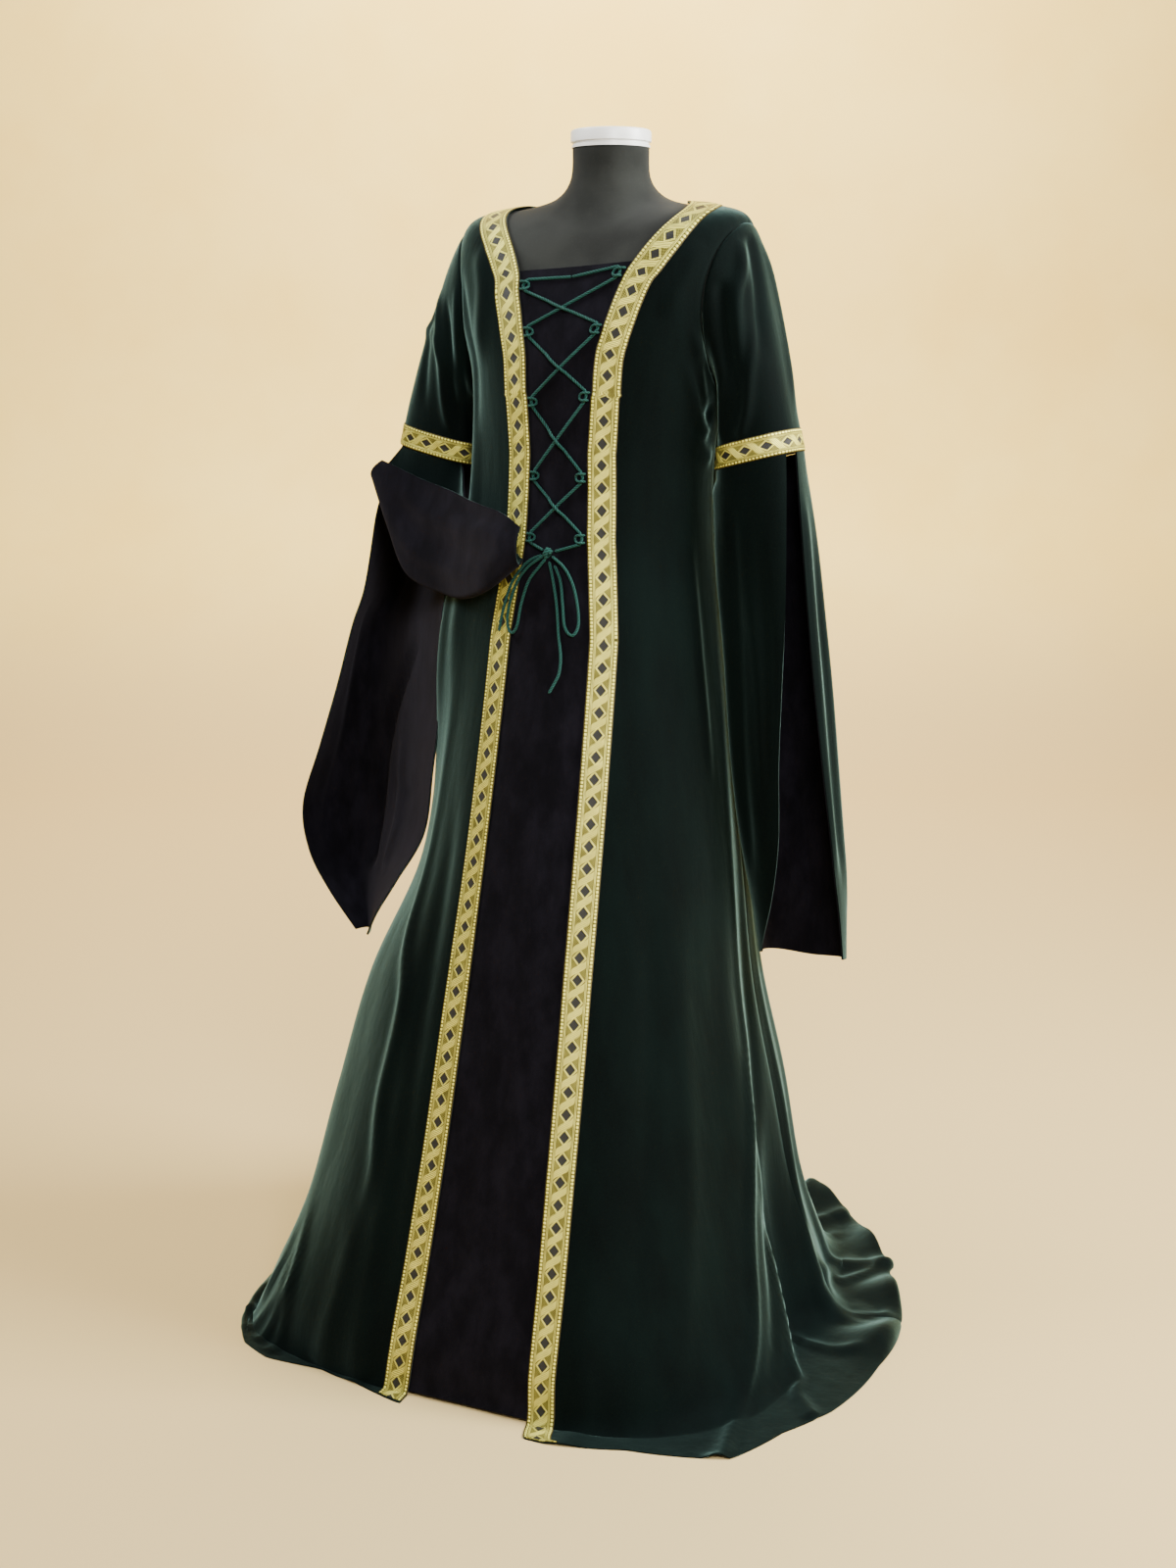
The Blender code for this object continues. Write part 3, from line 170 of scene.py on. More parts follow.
# Ridges of the train: angle, ring of the highest place, half width in degrees, height
TRAIN_RIDGES = (
    (88, 19.0, 7, 0.020),
    (108, 19.2, 6, 0.018),
    (131, 19.3, 7, 0.016),
    (154, 19.3, 7, 0.022),
    (178, 19.3, 6, 0.020),
    (-158, 19.3, 7, 0.018),
    (-132, 19.2, 8, 0.016),
    (-58, 19.0, 7, 0.012),
)
# How folds begin, sink on the floor and end at the hem, in shares and rings
FOLD_HEAD_WIDTH = 0.75
FOLD_FLOOR_LOSS = 0.6
FOLD_FLOOR_RINGS = (18, 20)
TRAIN_RINGS = (17.6, 19.95)
HEM_BLEND_RINGS = 0.5
# Neckline from the shoulder down: angle in degrees and ring
NECKLINE_LEFT = (
    (90.0, 3.15), (74.0, 3.72), (57.0, 4.36), (40.0, 5.20),
    (34.0, 5.60), (27.0, 6.40), (21.0, 7.35), (18.5, 8.30),
)
NECKLINE_RIGHT = (
    (90.0, 3.15), (67.0, 3.72), (44.0, 4.45), (31.8, 5.16),
    (28.0, 5.80), (23.5, 6.50), (19.5, 7.40), (18.5, 8.30),
)
# Open front: height and half width
OPENING = (
    (1.225, 0.0435), (1.130, 0.0375), (1.030, 0.0400), (0.910, 0.0520), (0.730, 0.0560),
    (0.500, 0.0610), (0.280, 0.0680), (0.050, 0.0780), (0.000, 0.0820),
)
# Degrees that a front edge turns on the floor, by side
HEM_SLIP = {1: 1.7, -1: 0.0}
# Seams, armholes and sleeve ends
NECK_RING = 3.15
BACK_NECK_RING = 3.55
ARMHOLE_RING = 6.75
ARMHOLE_HALF_RINGS = 1.55
ARMHOLE_HALF_ANGLE = 25.0
SLEEVE_HEAD_SHARE = 0.994
SIDE_SEAM = 96.0
SIDE_SEAM_TURN_RINGS = 3
SLEEVE_CENTRE_X = {1: 0.2105, -1: 0.2265}
SLEEVE_HALF_X = {1: 0.0521, -1: 0.0590}
SLEEVE_HALF_Y = 0.0460
SLEEVE_SQUARE = 2.7
SLEEVE_END_Z = 1.121
SLEEVE_END_SLOPE = 0.24
# An upper sleeve leaves the armhole and meets its end by these steps outward and down, given
# at the underarm and then as what the top adds
SLEEVE_LEAVE_OUT = (0.014, 0.010)
SLEEVE_LEAVE_DOWN = (0.004, 0.022)
SLEEVE_MEET_OUT = 0.022
SLEEVE_MEET_UP = (0.025, 0.070)
# Lower sleeve that hangs closed: height, the centre's x and y, half widths along x and y, and
# the degrees from the outside to the slit's back and front edge
LEFT_HANG = (
    (1.1206, 0.2105, 0.000, 0.0521, 0.0460, 14, 35),
    (1.0500, 0.2183, 0.000, 0.0553, 0.0480, 21, 43),
    (0.9500, 0.2284, 0.001, 0.0592, 0.0500, 25, 53),
    (0.8500, 0.2377, 0.003, 0.0627, 0.0510, 26, 65),
    (0.7500, 0.2464, 0.006, 0.0636, 0.0510, 23, 77),
    (0.6500, 0.2578, 0.010, 0.0614, 0.0500, 19, 90),
    (0.5700, 0.2680, 0.014, 0.0595, 0.0460, 14, 116),
    (0.5050, 0.2733, 0.018, 0.0559, 0.0400, 4, 148),
)
LEFT_HEM_SAG = 0.020
LEFT_SAG_ROWS = (5, 7)
LEFT_SLOPE_ROWS = 3
LEFT_HALF_GAP_TURN = 0.0003
# Hanging half of the open sleeve: height, then x and y of its inner edge, its deepest place
# and its outer edge
RIGHT_HANG = (
    (1.050, -0.184, -0.030, -0.290, 0.062, -0.328, -0.012),
    (0.946, -0.184, -0.083, -0.325, 0.060, -0.343, -0.022),
    (0.890, -0.187, -0.090, -0.350, 0.055, -0.360, -0.030),
    (0.805, -0.187, -0.096, -0.362, 0.050, -0.387, -0.030),
    (0.720, -0.192, -0.110, -0.368, 0.048, -0.417, -0.030),
    (0.635, -0.204, -0.115, -0.371, 0.040, -0.447, -0.030),
    (0.569, -0.241, -0.125, -0.373, 0.028, -0.439, -0.030),
    (0.515, -0.284, -0.106, -0.370, 0.014, -0.408, -0.030),
    (0.463, -0.335, -0.048, -0.352, -0.014, -0.366, -0.030),
)
RIGHT_BLEND_ROWS = 1.3
# Half that is turned up, from its outer end: x, y and z of its edge, its fold and its back
RIGHT_FLAP = (
    (-0.297, -0.048, 1.113, -0.309, -0.046, 1.086, -0.2720, -0.0320, 1.1304),
    (-0.276, -0.058, 1.108, -0.277, -0.062, 1.023, -0.2465, -0.0427, 1.1242),
    (-0.227, -0.066, 1.091, -0.243, -0.076, 0.968, -0.2065, -0.0427, 1.1144),
    (-0.177, -0.086, 1.080, -0.181, -0.096, 0.949, -0.1847, -0.0350, 1.1086),
    (-0.128, -0.116, 1.069, -0.134, -0.126, 0.948, -0.1500, -0.0880, 1.0600),
    (-0.068, -0.155, 1.060, -0.081, -0.162, 0.965, -0.0950, -0.1330, 1.0200),
    (-0.035, -0.168, 1.045, -0.033, -0.172, 0.998, -0.0420, -0.1570, 1.0080),
)
FOLD_RADIUS = 0.0065
FLAP_SWELL = 0.005
FLAP_SWELL_SHARES = (0.33, 0.67)
FLAP_STOPS = 7
# Lace: heights of its turns, and how a turn stands to the braid's edge and over the cloth
LACE_HEIGHTS = {1: (1.344, 1.278, 1.199, 1.103, 1.030), -1: (1.330, 1.275, 1.192, 1.104, 1.030)}
LACE_INSET = 0.0052
LACE_TURN = 0.0075
LACE_RISE = 0.0065
FIRST_TURN_SHARE = 1.5
LACE_CLEARANCE = 0.0006
LACE_WAYS = (0.33, 0.43, 0.57, 0.67)
LOOP_HALF_HEIGHT = 0.0045
# A loop's arch: distance inside the edge and over the cloth
LOOP_ARCH = (
    (0.0020, 0.0023), (0.0030, 0.0053), (0.0064, 0.0071), (0.0098, 0.0062), (0.0134, 0.0029),
)
TOP_BAR_MIDDLE = (0.006, 1.339)
KNOT = (-0.006, 1.012)
KNOT_RADIUS = 0.0062
KNOT_LIFT = 0.0034
# Bow loops and lace ends: x, height and distance over the cloth
BOW_RIGHT = (
    (-0.0118, 1.0084, 0.0062), (-0.0190, 1.0040, 0.0060), (-0.0320, 0.9950, 0.0057),
    (-0.0460, 0.9780, 0.0056), (-0.0560, 0.9520, 0.0055), (-0.0580, 0.9280, 0.0055),
    (-0.0510, 0.9140, 0.0055), (-0.0425, 0.9220, 0.0055), (-0.0385, 0.9500, 0.0056),
    (-0.0300, 0.9780, 0.0056), (-0.0160, 0.9960, 0.0056), (-0.0082, 1.0052, 0.0062),
)
END_RIGHT = (
    (-0.0150, 1.0090, 0.0030), (-0.0240, 1.0060, 0.0036), (-0.0330, 1.0010, 0.0050),
    (-0.0420, 0.9925, 0.0056), (-0.0560, 0.9740, 0.0056), (-0.0660, 0.9420, 0.0056),
    (-0.0700, 0.9140, 0.0056),
)
BOW_LEFT = (
    (0.0000, 1.0088, 0.0062), (0.0160, 0.9960, 0.0044), (0.0280, 0.9760, 0.0030),
    (0.0360, 0.9490, 0.0024), (0.0385, 0.9260, 0.0024), (0.0320, 0.9150, 0.0024),
    (0.0220, 0.9250, 0.0022), (0.0170, 0.9520, 0.0022), (0.0120, 0.9790, 0.0024),
    (0.0030, 0.9975, 0.0030),
)
END_LEFT = (
    (-0.0050, 1.0020, 0.0024), (0.0020, 0.9800, 0.0022), (0.0095, 0.9500, 0.0022),
    (0.0150, 0.9150, 0.0022), (0.0200, 0.8900, 0.0022), (0.0200, 0.8700, 0.0022),
    (0.0150, 0.8570, 0.0022), (0.0090, 0.8450, 0.0022),
)
PANEL_HEM_RING = 17.85

# Steps and rounds by which places on the cloth are found
BODY_STEP = 0.012
SLEEVE_STEP = 0.004
FLAP_STEP = 0.05
HEM_MARGIN = 0.02
ON_FLOOR = 1e-6
LYING_RINGS = (0.1, 0.6)
OPENING_PROBE = 0.25
OPENING_START = 0.3
OPENING_ROUNDS = 12
PLACE_FIRST_RING = 4
PLACE_DEPTH = 0.14
PLACE_ROUNDS = 14
PLACE_STEP = 0.05
PLACE_DAMPING = 0.9
PLACE_LEAST_SLOPE = 0.01
PLACE_LEAST_REACH = 0.05
SLANT_STEP = 0.006
SLANT_WAY = 0.1
ROW_SAMPLES = 161

# Rows and columns of the cloth
NECK_ROWS = 70
SKIRT_ROWS = 170
SHOULDER_ROWS = 22
BACK_ARM_ROWS = 48
FRONT_COLUMNS = 84
BACK_COLUMNS = 84
PANEL_TOP_SHARE = 6 / 14
PANEL_COLUMNS = 22
PANEL_UNDERLAP = 0.0175
UPPER_TURNS = 150
UPPER_ROWS = 56
LOWER_ROWS = 90
LOWER_COLUMNS = 44
FLAP_ROWS = 72
FORM_SIDES = 96
FORM_ROWS = 64

# Braid: its rows, its repeat and the parts of its width and repeat that each form takes
BRAID_STEP = 0.00125
BRAID_COLUMNS = 30
BRAID_REPEAT = 0.027
BRAID_EDGE = 0.0012
BRAID_EDGE_HEIGHT = 0.35
BRAID_EDGE_SPREAD = 1.5
BRAID_UNDER_STEP = 5
DIAMOND_HALF_WIDTH = 0.172
DIAMOND_HALF_LENGTH = 0.272
CENTRE_HALF_WIDTH = 0.255
BUNDLE_REACH = 0.19
BUNDLE_HALF = 0.17
STRAND_REPEAT = 0.085
BEADS = 6
BRAID_TURN_ROWS = 14
BRAID_RISE = 0.00040
BRAID_HEM_CUT = 0.003
BUNDLE_HEIGHT = 0.00034
BUNDLE_SOFT = 0.03
CENTRE_SOFT = 0.01
OUTLINE_HEIGHT = 0.00016
OUTLINE_SHARES = (0.95, 1.15, 1.3, 1.5)
DIAMOND_DEPTH = 0.00025
DIAMOND_SHARES = (0.9, 1.1)
RIB_HEIGHT = 0.00028
RIB_PLACES = (0.26, 0.29, 0.34, 0.36)
BEAD_HEIGHT = 0.00040
BEAD_PLACES = (0.36, 0.39, 0.44, 0.47)
NECK_BRAID_ROWS = 200
NECK_BRAID_END = 0.004
NECK_BRAID_SAMPLES = 120
NECK_BRAID_RINGS = 2.2
BAND_TURNS = 300
BAND_COLUMNS = 26
BAND_REPEAT = 0.0280
BAND_SAMPLES = 81
BAND_FIRST_WAY = 0.5

# Rope: the step between its sections, its points round and the length of one twist
ROPE_STEP = 0.0009
ROPE_SIDES = 18
ROPE_STRANDS = 3
ROPE_GROOVE = 0.22
ROPE_PITCH = 3.2
ROPE_GROOVE_POWER = 1.5
ROPE_END_LEAST = 0.05
ROPE_SOFTEN = 0.003
LOOP_SOFTEN = 0.002
KNOT_SOFTEN = 0.001
ROPE_SIDE = (0.3, 0.9, 0.2)
STOP_STEPS = 8

# Creases: a half width and a height in metres, the shares of the length over which the head
# and the foot fade, and then the places that it runs through. A trough has a negative height.
# On the body a place is an angle in degrees and a ring.
BODY_CREASES = (
    (0.016, 0.0085, 0.25, 0.4, (-68, 10.35), (-66, 10.9), (-65, 11.5), (-64, 12.4)),
    (0.009, 0.0060, 0.3, 0.0, (90, 9.7), (79.8, 13.9), (73.8, 14.7), (63.5, 15.8), (57.2, 16.8),
     (43.5, 18.5), (40, 20)),
    (0.013, -0.0060, 0.3, 0.0, (98, 9.9), (88, 13.9), (83, 14.9), (71, 16.1), (63, 17.2),
     (51, 18.7), (47, 20)),
    (0.009, 0.0060, 0.3, 0.1, (72.2, 14.7), (72, 16.2), (66, 17.8), (60.5, 18.3), (58, 19.4)),
    (0.010, -0.0050, 0.3, 0.2, (80, 15.2), (79, 16.6), (75, 18.0), (71, 19.0)),
    (0.010, 0.0060, 0.3, 0.2, (103, 12.2), (101, 15.0), (95, 16.7), (92.2, 17.5), (93, 18.6)),
    (0.010, -0.0050, 0.3, 0.2, (106, 13.4), (107, 16.0), (103, 17.4), (104, 18.6)),
    (0.011, 0.0050, 0.3, 0.3, (95, 16.9), (106, 17.4), (127, 18.3)),
    (0.009, 0.0045, 0.2, 0.3, (93.8, 17.2), (96, 18.2), (98.5, 19.1)),
    (0.009, 0.0045, 0.2, 0.3, (78.8, 17.8), (79.2, 18.4), (83, 19.0)),
    (0.007, 0.0030, 0.4, 0.3, (71, 9.9), (71.5, 11.0), (73, 12.2)),
    (0.008, 0.0052, 0.3, 0.2, (62, 7.1), (69.5, 8.0), (76.8, 8.5)),
    (0.008, 0.0052, 0.4, 0.2, (59.7, 7.7), (69.7, 8.5), (80.2, 8.8)),
    (0.006, -0.0030, 0.3, 0.2, (66, 7.6), (73, 8.2), (80, 8.7)),
    (0.008, 0.0042, 0.4, 0.2, (63.7, 8.7), (74, 8.9), (86, 9.1)),
    (0.012, 0.0030, 0.4, 0.3, (66, 5.4), (60, 6.0), (49, 6.9)),
    (0.020, 0.0035, 0.4, 0.3, (50, 12.6), (46, 15.0), (34, 17.6)),
    (0.016, -0.0030, 0.4, 0.3, (41, 12.0), (36, 14.6), (27, 16.8)),
    (0.018, 0.0030, 0.5, 0.0, (27, 14.0), (22, 16.4), (18, 20)),
    (0.012, 0.0065, 0.3, 0.3, (-52, 10.4), (-45.5, 13.1), (-35.2, 14.0), (-34, 14.8),
     (-30, 15.4), (-31, 15.9)),
    (0.016, -0.0045, 0.3, 0.3, (-38, 12.0), (-29, 13.6), (-24, 15.2), (-21, 17.0)),
    (0.020, 0.0040, 0.4, 0.3, (-27, 13.6), (-25, 15.2), (-22, 17.6), (-20, 18.6)),
    (0.018, 0.0040, 0.3, 0.3, (-31.5, 15.7), (-29.5, 16.8), (-30, 18.2)),
    (0.008, 0.0040, 0.3, 0.1, (-51.2, 15.9), (-46, 16.4), (-43.2, 16.8), (-43.2, 17.3),
     (-42.7, 18.6)),
    (0.008, 0.0032, 0.3, 0.1, (-46, 16.5), (-42, 17.0), (-40.2, 17.6), (-38, 18.8)),
    (0.007, 0.0028, 0.3, 0.1, (-47, 16.7), (-45, 17.1), (-47.5, 17.9), (-47, 19.0)),
    (0.008, 0.0032, 0.3, 0.1, (-49.2, 16.5), (-49.5, 17.1), (-52, 18.4), (-53, 19.4)),
    (0.007, -0.0035, 0.3, 0.1, (-50, 16.2), (-48.4, 17.0), (-49.5, 18.2), (-50, 19.2)),
    (0.010, 0.0045, 0.4, 0.2, (-66, 14.8), (-62, 17.0), (-58, 18.9)),
    (0.012, -0.0040, 0.4, 0.2, (-76, 14.0), (-72, 16.6), (-66, 18.6)),
    (0.012, 0.0040, 0.3, 0.3, (-57.7, 5.2), (-48, 6.3), (-50, 8.0)),
    (0.013, 0.0035, 0.4, 0.3, (-62, 7.6), (-58, 9.6), (-53, 11.6)),
    (0.009, -0.0030, 0.3, 0.3, (-66, 6.0), (-58, 7.2), (-57, 9.0)),
    (0.010, -0.0030, 0.3, 0.3, (-72, 8.6), (-68, 10.4), (-66, 12.6)),
    (0.014, 0.0020, 0.4, 0.3, (3, 12.2), (5, 14.0), (4, 16.4)),
    (0.012, -0.0018, 0.4, 0.3, (-5, 11.9), (-7, 14.4), (-6, 17.0)),
    (0.011, 0.0040, 0.4, 0.3, (118, 7.4), (138, 8.2), (158, 8.5)),
    (0.009, -0.0030, 0.3, 0.4, (112, 8.2), (128, 8.9), (146, 9.0)),
    (0.010, 0.0035, 0.3, 0.4, (-114, 7.8), (-134, 8.6), (-150, 9.0)),
    (0.012, -0.0030, 0.4, 0.4, (-124, 6.8), (-146, 7.6), (-166, 7.7)),
    (0.012, 0.0030, 0.4, 0.4, (116, 10.7), (138, 10.4), (158, 10.6)),
    (0.011, 0.0030, 0.4, 0.4, (-112, 10.5), (-130, 10.8), (-152, 10.4)),
    (0.014, 0.0070, 0.3, 0.0, (113, 9.6), (117, 13.0), (120, 16.2), (121, 20)),
    (0.011, -0.0055, 0.4, 0.0, (123, 11.6), (127, 14.4), (130, 17.4), (131, 20)),
    (0.015, 0.0075, 0.4, 0.1, (144, 10.2), (148, 13.6), (146, 17.0), (144, 19.6)),
    (0.012, -0.0060, 0.3, 0.1, (158, 12.0), (161, 15.2), (160, 18.0), (162, 19.7)),
    (0.013, 0.0060, 0.3, 0.3, (172, 9.4), (173, 12.8), (170, 16.4), (171, 18.8)),
    (0.010, 0.0045, 0.4, 0.3, (134, 13.6), (136, 16.0), (137, 18.8)),
    (0.014, 0.0070, 0.3, 0.1, (-116, 9.9), (-118, 13.4), (-114, 16.8), (-112, 19.6)),
    (0.012, -0.0055, 0.4, 0.0, (-126, 12.4), (-123, 15.6), (-121, 20)),
    (0.013, 0.0065, 0.3, 0.2, (-148, 10.8), (-152, 14.4), (-150, 17.6), (-148, 19.2)),
    (0.010, -0.0050, 0.4, 0.2, (-138, 13.2), (-136, 16.2), (-138, 18.8)),
    (0.014, 0.0060, 0.4, 0.1, (-170, 11.8), (-168, 15.0), (-171, 18.0), (-168, 19.7)),
    (0.010, 0.0045, 0.4, 0.3, (-97, 12.8), (-94, 15.6), (-90, 18.4)),
    (0.011, -0.0045, 0.4, 0.3, (-104, 11.0), (-103, 14.0), (-99, 17.2)),
    (0.010, 0.0060, 0.2, 0.3, (110, 17.8), (117, 18.7), (122, 19.6)),
    (0.010, 0.0060, 0.2, 0.3, (150, 17.7), (155, 18.6), (159, 19.6)),
    (0.009, 0.0055, 0.2, 0.3, (-158, 17.7), (-153, 18.6), (-150, 19.6)),
    (0.010, 0.0055, 0.2, 0.3, (-128, 17.6), (-130, 18.5), (-126, 19.5)),
    (0.009, 0.0050, 0.2, 0.3, (-86, 17.4), (-80, 18.4), (-74, 19.3)),
)
# On a sleeve a place is a turn round it, 0 outside and a quarter in front, and a way down it
UPPER_CREASES = {
    1: (
        (0.008, 0.0062, 0.2, 0.3, (0.070, 0.09), (0.103, 0.25), (0.143, 0.32), (0.168, 0.42),
         (0.208, 0.64)),
        (0.007, 0.0055, 0.3, 0.2, (0.100, 0.46), (0.168, 0.63), (0.215, 0.76), (0.280, 0.86)),
        (0.006, 0.0035, 0.3, 0.3, (0.300, 0.44), (0.345, 0.60), (0.360, 0.80)),
        (0.008, -0.0050, 0.2, 0.3, (0.170, 0.16), (0.215, 0.40), (0.245, 0.66)),
        (0.009, -0.0050, 0.2, 0.3, (0.035, 0.10), (0.065, 0.36), (0.120, 0.64)),
        (0.010, 0.0035, 0.3, 0.3, (0.970, 0.14), (0.950, 0.50), (0.965, 0.86)),
        (0.009, -0.0035, 0.3, 0.3, (0.905, 0.18), (0.885, 0.60), (0.895, 0.90)),
        (0.008, 0.0045, 0.2, 0.3, (0.820, 0.10), (0.795, 0.40), (0.755, 0.72)),
        (0.007, -0.0035, 0.3, 0.2, (0.750, 0.16), (0.730, 0.44), (0.690, 0.78)),
        (0.007, 0.0040, 0.3, 0.2, (0.690, 0.22), (0.670, 0.56), (0.635, 0.86)),
    ),
    -1: (
        (0.006, -0.0045, 0.3, 0.2, (0.160, 0.27), (0.290, 0.38), (0.375, 0.72)),
        (0.007, 0.0045, 0.3, 0.2, (0.080, 0.34), (0.233, 0.50), (0.345, 0.78)),
        (0.006, 0.0035, 0.3, 0.3, (0.190, 0.08), (0.300, 0.18), (0.400, 0.46)),
        (0.008, -0.0035, 0.3, 0.3, (0.045, 0.24), (0.120, 0.54), (0.190, 0.80)),
        (0.009, 0.0035, 0.3, 0.3, (0.990, 0.18), (0.020, 0.56), (0.060, 0.88)),
        (0.008, -0.0035, 0.3, 0.3, (0.910, 0.14), (0.900, 0.52), (0.915, 0.88)),
        (0.009, 0.0045, 0.2, 0.3, (0.835, 0.10), (0.810, 0.44), (0.790, 0.74)),
        (0.007, 0.0035, 0.3, 0.2, (0.720, 0.20), (0.695, 0.52), (0.640, 0.84)),
        (0.007, -0.0035, 0.3, 0.2, (0.770, 0.26), (0.740, 0.60), (0.720, 0.84)),
    ),
}
LEFT_FRONT_CREASES = (
    (0.010, -0.0035, 0.2, 0.2, (0.330, 0.5), (0.345, 3.0), (0.380, 5.7)),
    (0.010, 0.0035, 0.3, 0.3, (0.420, 0.8), (0.405, 3.4), (0.440, 6.2)),
    (0.008, 0.0030, 0.3, 0.3, (0.280, 1.6), (0.270, 3.0), (0.285, 4.6)),
    (0.006, -0.0025, 0.3, 0.3, (0.225, 1.0), (0.220, 2.6), (0.265, 4.4)),
    (0.016, 0.0060, 0.2, 0.4, (0.455, 0.2), (0.450, 1.2), (0.455, 2.8)),
)
LEFT_BACK_CREASES = (
    (0.008, 0.0035, 0.2, 0.2, (1.020, 0.7), (1.050, 3.0), (1.030, 5.6)),
    (0.008, -0.0030, 0.3, 0.3, (0.985, 1.2), (1.000, 3.6), (0.985, 5.8)),
    (0.010, 0.0040, 0.3, 0.2, (0.930, 0.4), (0.950, 3.0), (0.925, 6.4)),
    (0.010, -0.0040, 0.3, 0.2, (0.860, 0.8), (0.875, 3.8), (0.850, 6.6)),
    (0.011, 0.0045, 0.3, 0.1, (0.760, 0.3), (0.725, 3.0), (0.760, 6.8)),
    (0.009, -0.0040, 0.3, 0.2, (0.665, 0.9), (0.640, 4.0), (0.670, 6.5)),
    (0.009, 0.0035, 0.3, 0.3, (0.585, 0.6), (0.570, 3.4), (0.600, 6.4)),
)
RIGHT_BACK_CREASES = (
    (0.011, 0.0090, 0.3, 0.1, (0.558, 2.9), (0.637, 3.7), (0.705, 4.7), (0.735, 5.7),
     (0.735, 7.6)),
    (0.012, -0.0050, 0.3, 0.2, (0.640, 4.6), (0.640, 6.0), (0.620, 7.4)),
    (0.012, -0.0055, 0.3, 0.2, (0.876, 3.0), (0.860, 4.2), (0.850, 6.4), (0.860, 7.8)),
    (0.009, 0.0035, 0.3, 0.3, (0.960, 2.2), (0.935, 4.9), (0.990, 7.6)),
    (0.009, 0.0030, 0.3, 0.4, (0.540, 5.2), (0.600, 5.6), (0.690, 5.6)),
    (0.010, 0.0035, 0.2, 0.3, (0.820, 0.8), (0.800, 1.8), (0.790, 3.0)),
)
# On the half that is turned up a place is a station from its outer end and a way over it
FLAP_CREASES = (
    (0.012, 0.0035, 0.3, 0.3, (1.05, 0.35), (2.25, 0.90), (4.20, 0.95), (5.60, 0.70)),
    (0.013, -0.0030, 0.3, 0.3, (1.00, 1.10), (2.60, 1.60), (4.60, 1.70)),
    (0.010, 0.0030, 0.3, 0.3, (1.35, 2.10), (2.75, 2.25), (4.90, 2.35)),
    (0.009, -0.0025, 0.3, 0.3, (3.10, 0.30), (4.30, 0.45), (5.50, 0.40)),
    (0.009, 0.0025, 0.3, 0.3, (5.20, 0.80), (5.35, 1.60), (5.10, 2.50)),
)

# Turns of the knot, how far it winds from its middle, its shape and its points
KNOT_TURNS = 2.2
KNOT_WIND = 0.0046
KNOT_SHAPE = (0.7, 0.8)
KNOT_POINTS = 60

# Form and stand, the profiles as reach and height
FORM_INSET = 0.0016
FORM_UNDER_INSET = 0.006
FORM_UNDER_RINGS = (3.0, 6.0)
TURNED_SIDES = 64
CAP_PROFILE = (
    (0, 0), (0.0485, 0), (0.0485, 0.003), (0.0470, 0.004), (0.0470, 0.006), (0.0500, 0.007),
    (0.0500, 0.018), (0.0490, 0.0205), (0.0460, 0.0218), (0.0300, 0.0220), (0, 0.0220),
)
BASE_PROFILE = (
    (0, 0), (0.1480, 0), (0.1500, 0.002), (0.1500, 0.009), (0.1480, 0.0115), (0.1400, 0.0130),
    (0.0300, 0.0140), (0, 0.0140),
)

# Stage, and lights by name: place, aim, power, size and colour
STAGE_REACH = 12.0
STAGE_BACK = 4.6
STAGE_CURVE = 1.4
STAGE_HEIGHT = 5.0
STAGE_CURVE_STEPS = 16
LIGHTS = (
    ("key", (1.30, -2.00, 2.10), (0.1, 0, 1.15), 85, 0.8, (1.0, 0.99, 0.96)),
    ("fill", (-1.10, -0.60, 2.70), (-0.15, 0, 1.40), 56, 0.9, (0.95, 0.99, 1.0)),
    ("side", (2.10, 0.40, 2.20), (0.2, 0, 1.2), 220, 1.1, (0.98, 1.0, 0.97)),
    ("wall", (-1.15, 2.50, 3.80), (-1.95, 4.17, 1.4), 370, 2.6, (1.0, 0.94, 0.76)),
)
WORLD_COLOUR = (1.0, 0.95, 0.84, 1)
WORLD_STRENGTH = 0.34

# Colours: the darker and the lighter of each material, and its other tones
VELVET_SHEEN = (0.56, 0.95, 0.88, 1)
VELVET_DARK = (0.0005, 0.0010, 0.0010, 1)
VELVET_LIGHT = (0.0012, 0.0034, 0.0031, 1)
VELVET_PILE = (0.0022, 0.0060, 0.0055, 1)
BLACK_SHEEN = (0.80, 0.75, 0.95, 1)
BLACK_DARK = (0.0018, 0.0017, 0.0028, 1)
BLACK_LIGHT = (0.0056, 0.0051, 0.0082, 1)
# Gold braid: painted shade in the grooves of its weave and painted highlight on the crests of its
# strands, ribs and beads
GOLD_PAINTED_SHADE = (0.050, 0.040, 0.002, 1)
GOLD_PAINTED_HIGHLIGHT = (0.90, 0.83, 0.17, 1)
GOLD_EDGE = (0.055, 0.040, 0.012, 1)
DIAMOND_DARK = (0.002, 0.002, 0.002, 1)
DIAMOND_LIGHT = (0.014, 0.013, 0.010, 1)
# Cord: painted shade in the grooves between its strands, and its own lighter colour on the strands
CORD_PAINTED_SHADE = (0.0010, 0.009, 0.008, 1)
CORD_LIGHT = (0.009, 0.082, 0.066, 1)
FORM_DARK = (0.0060, 0.0066, 0.0056, 1)
FORM_LIGHT = (0.0185, 0.0198, 0.0175, 1)
CAP_WHITE = (0.80, 0.80, 0.78, 1)
STEEL_GREY = (0.55, 0.55, 0.56, 1)
WALL_DARK = (0.92, 0.66, 0.20, 1)
WALL_LIGHT = (0.96, 0.72, 0.25, 1)
# Floor: painted shade, darker and browner than the wall
FLOOR_PAINTED_SHADE = (0.58, 0.43, 0.20, 1)

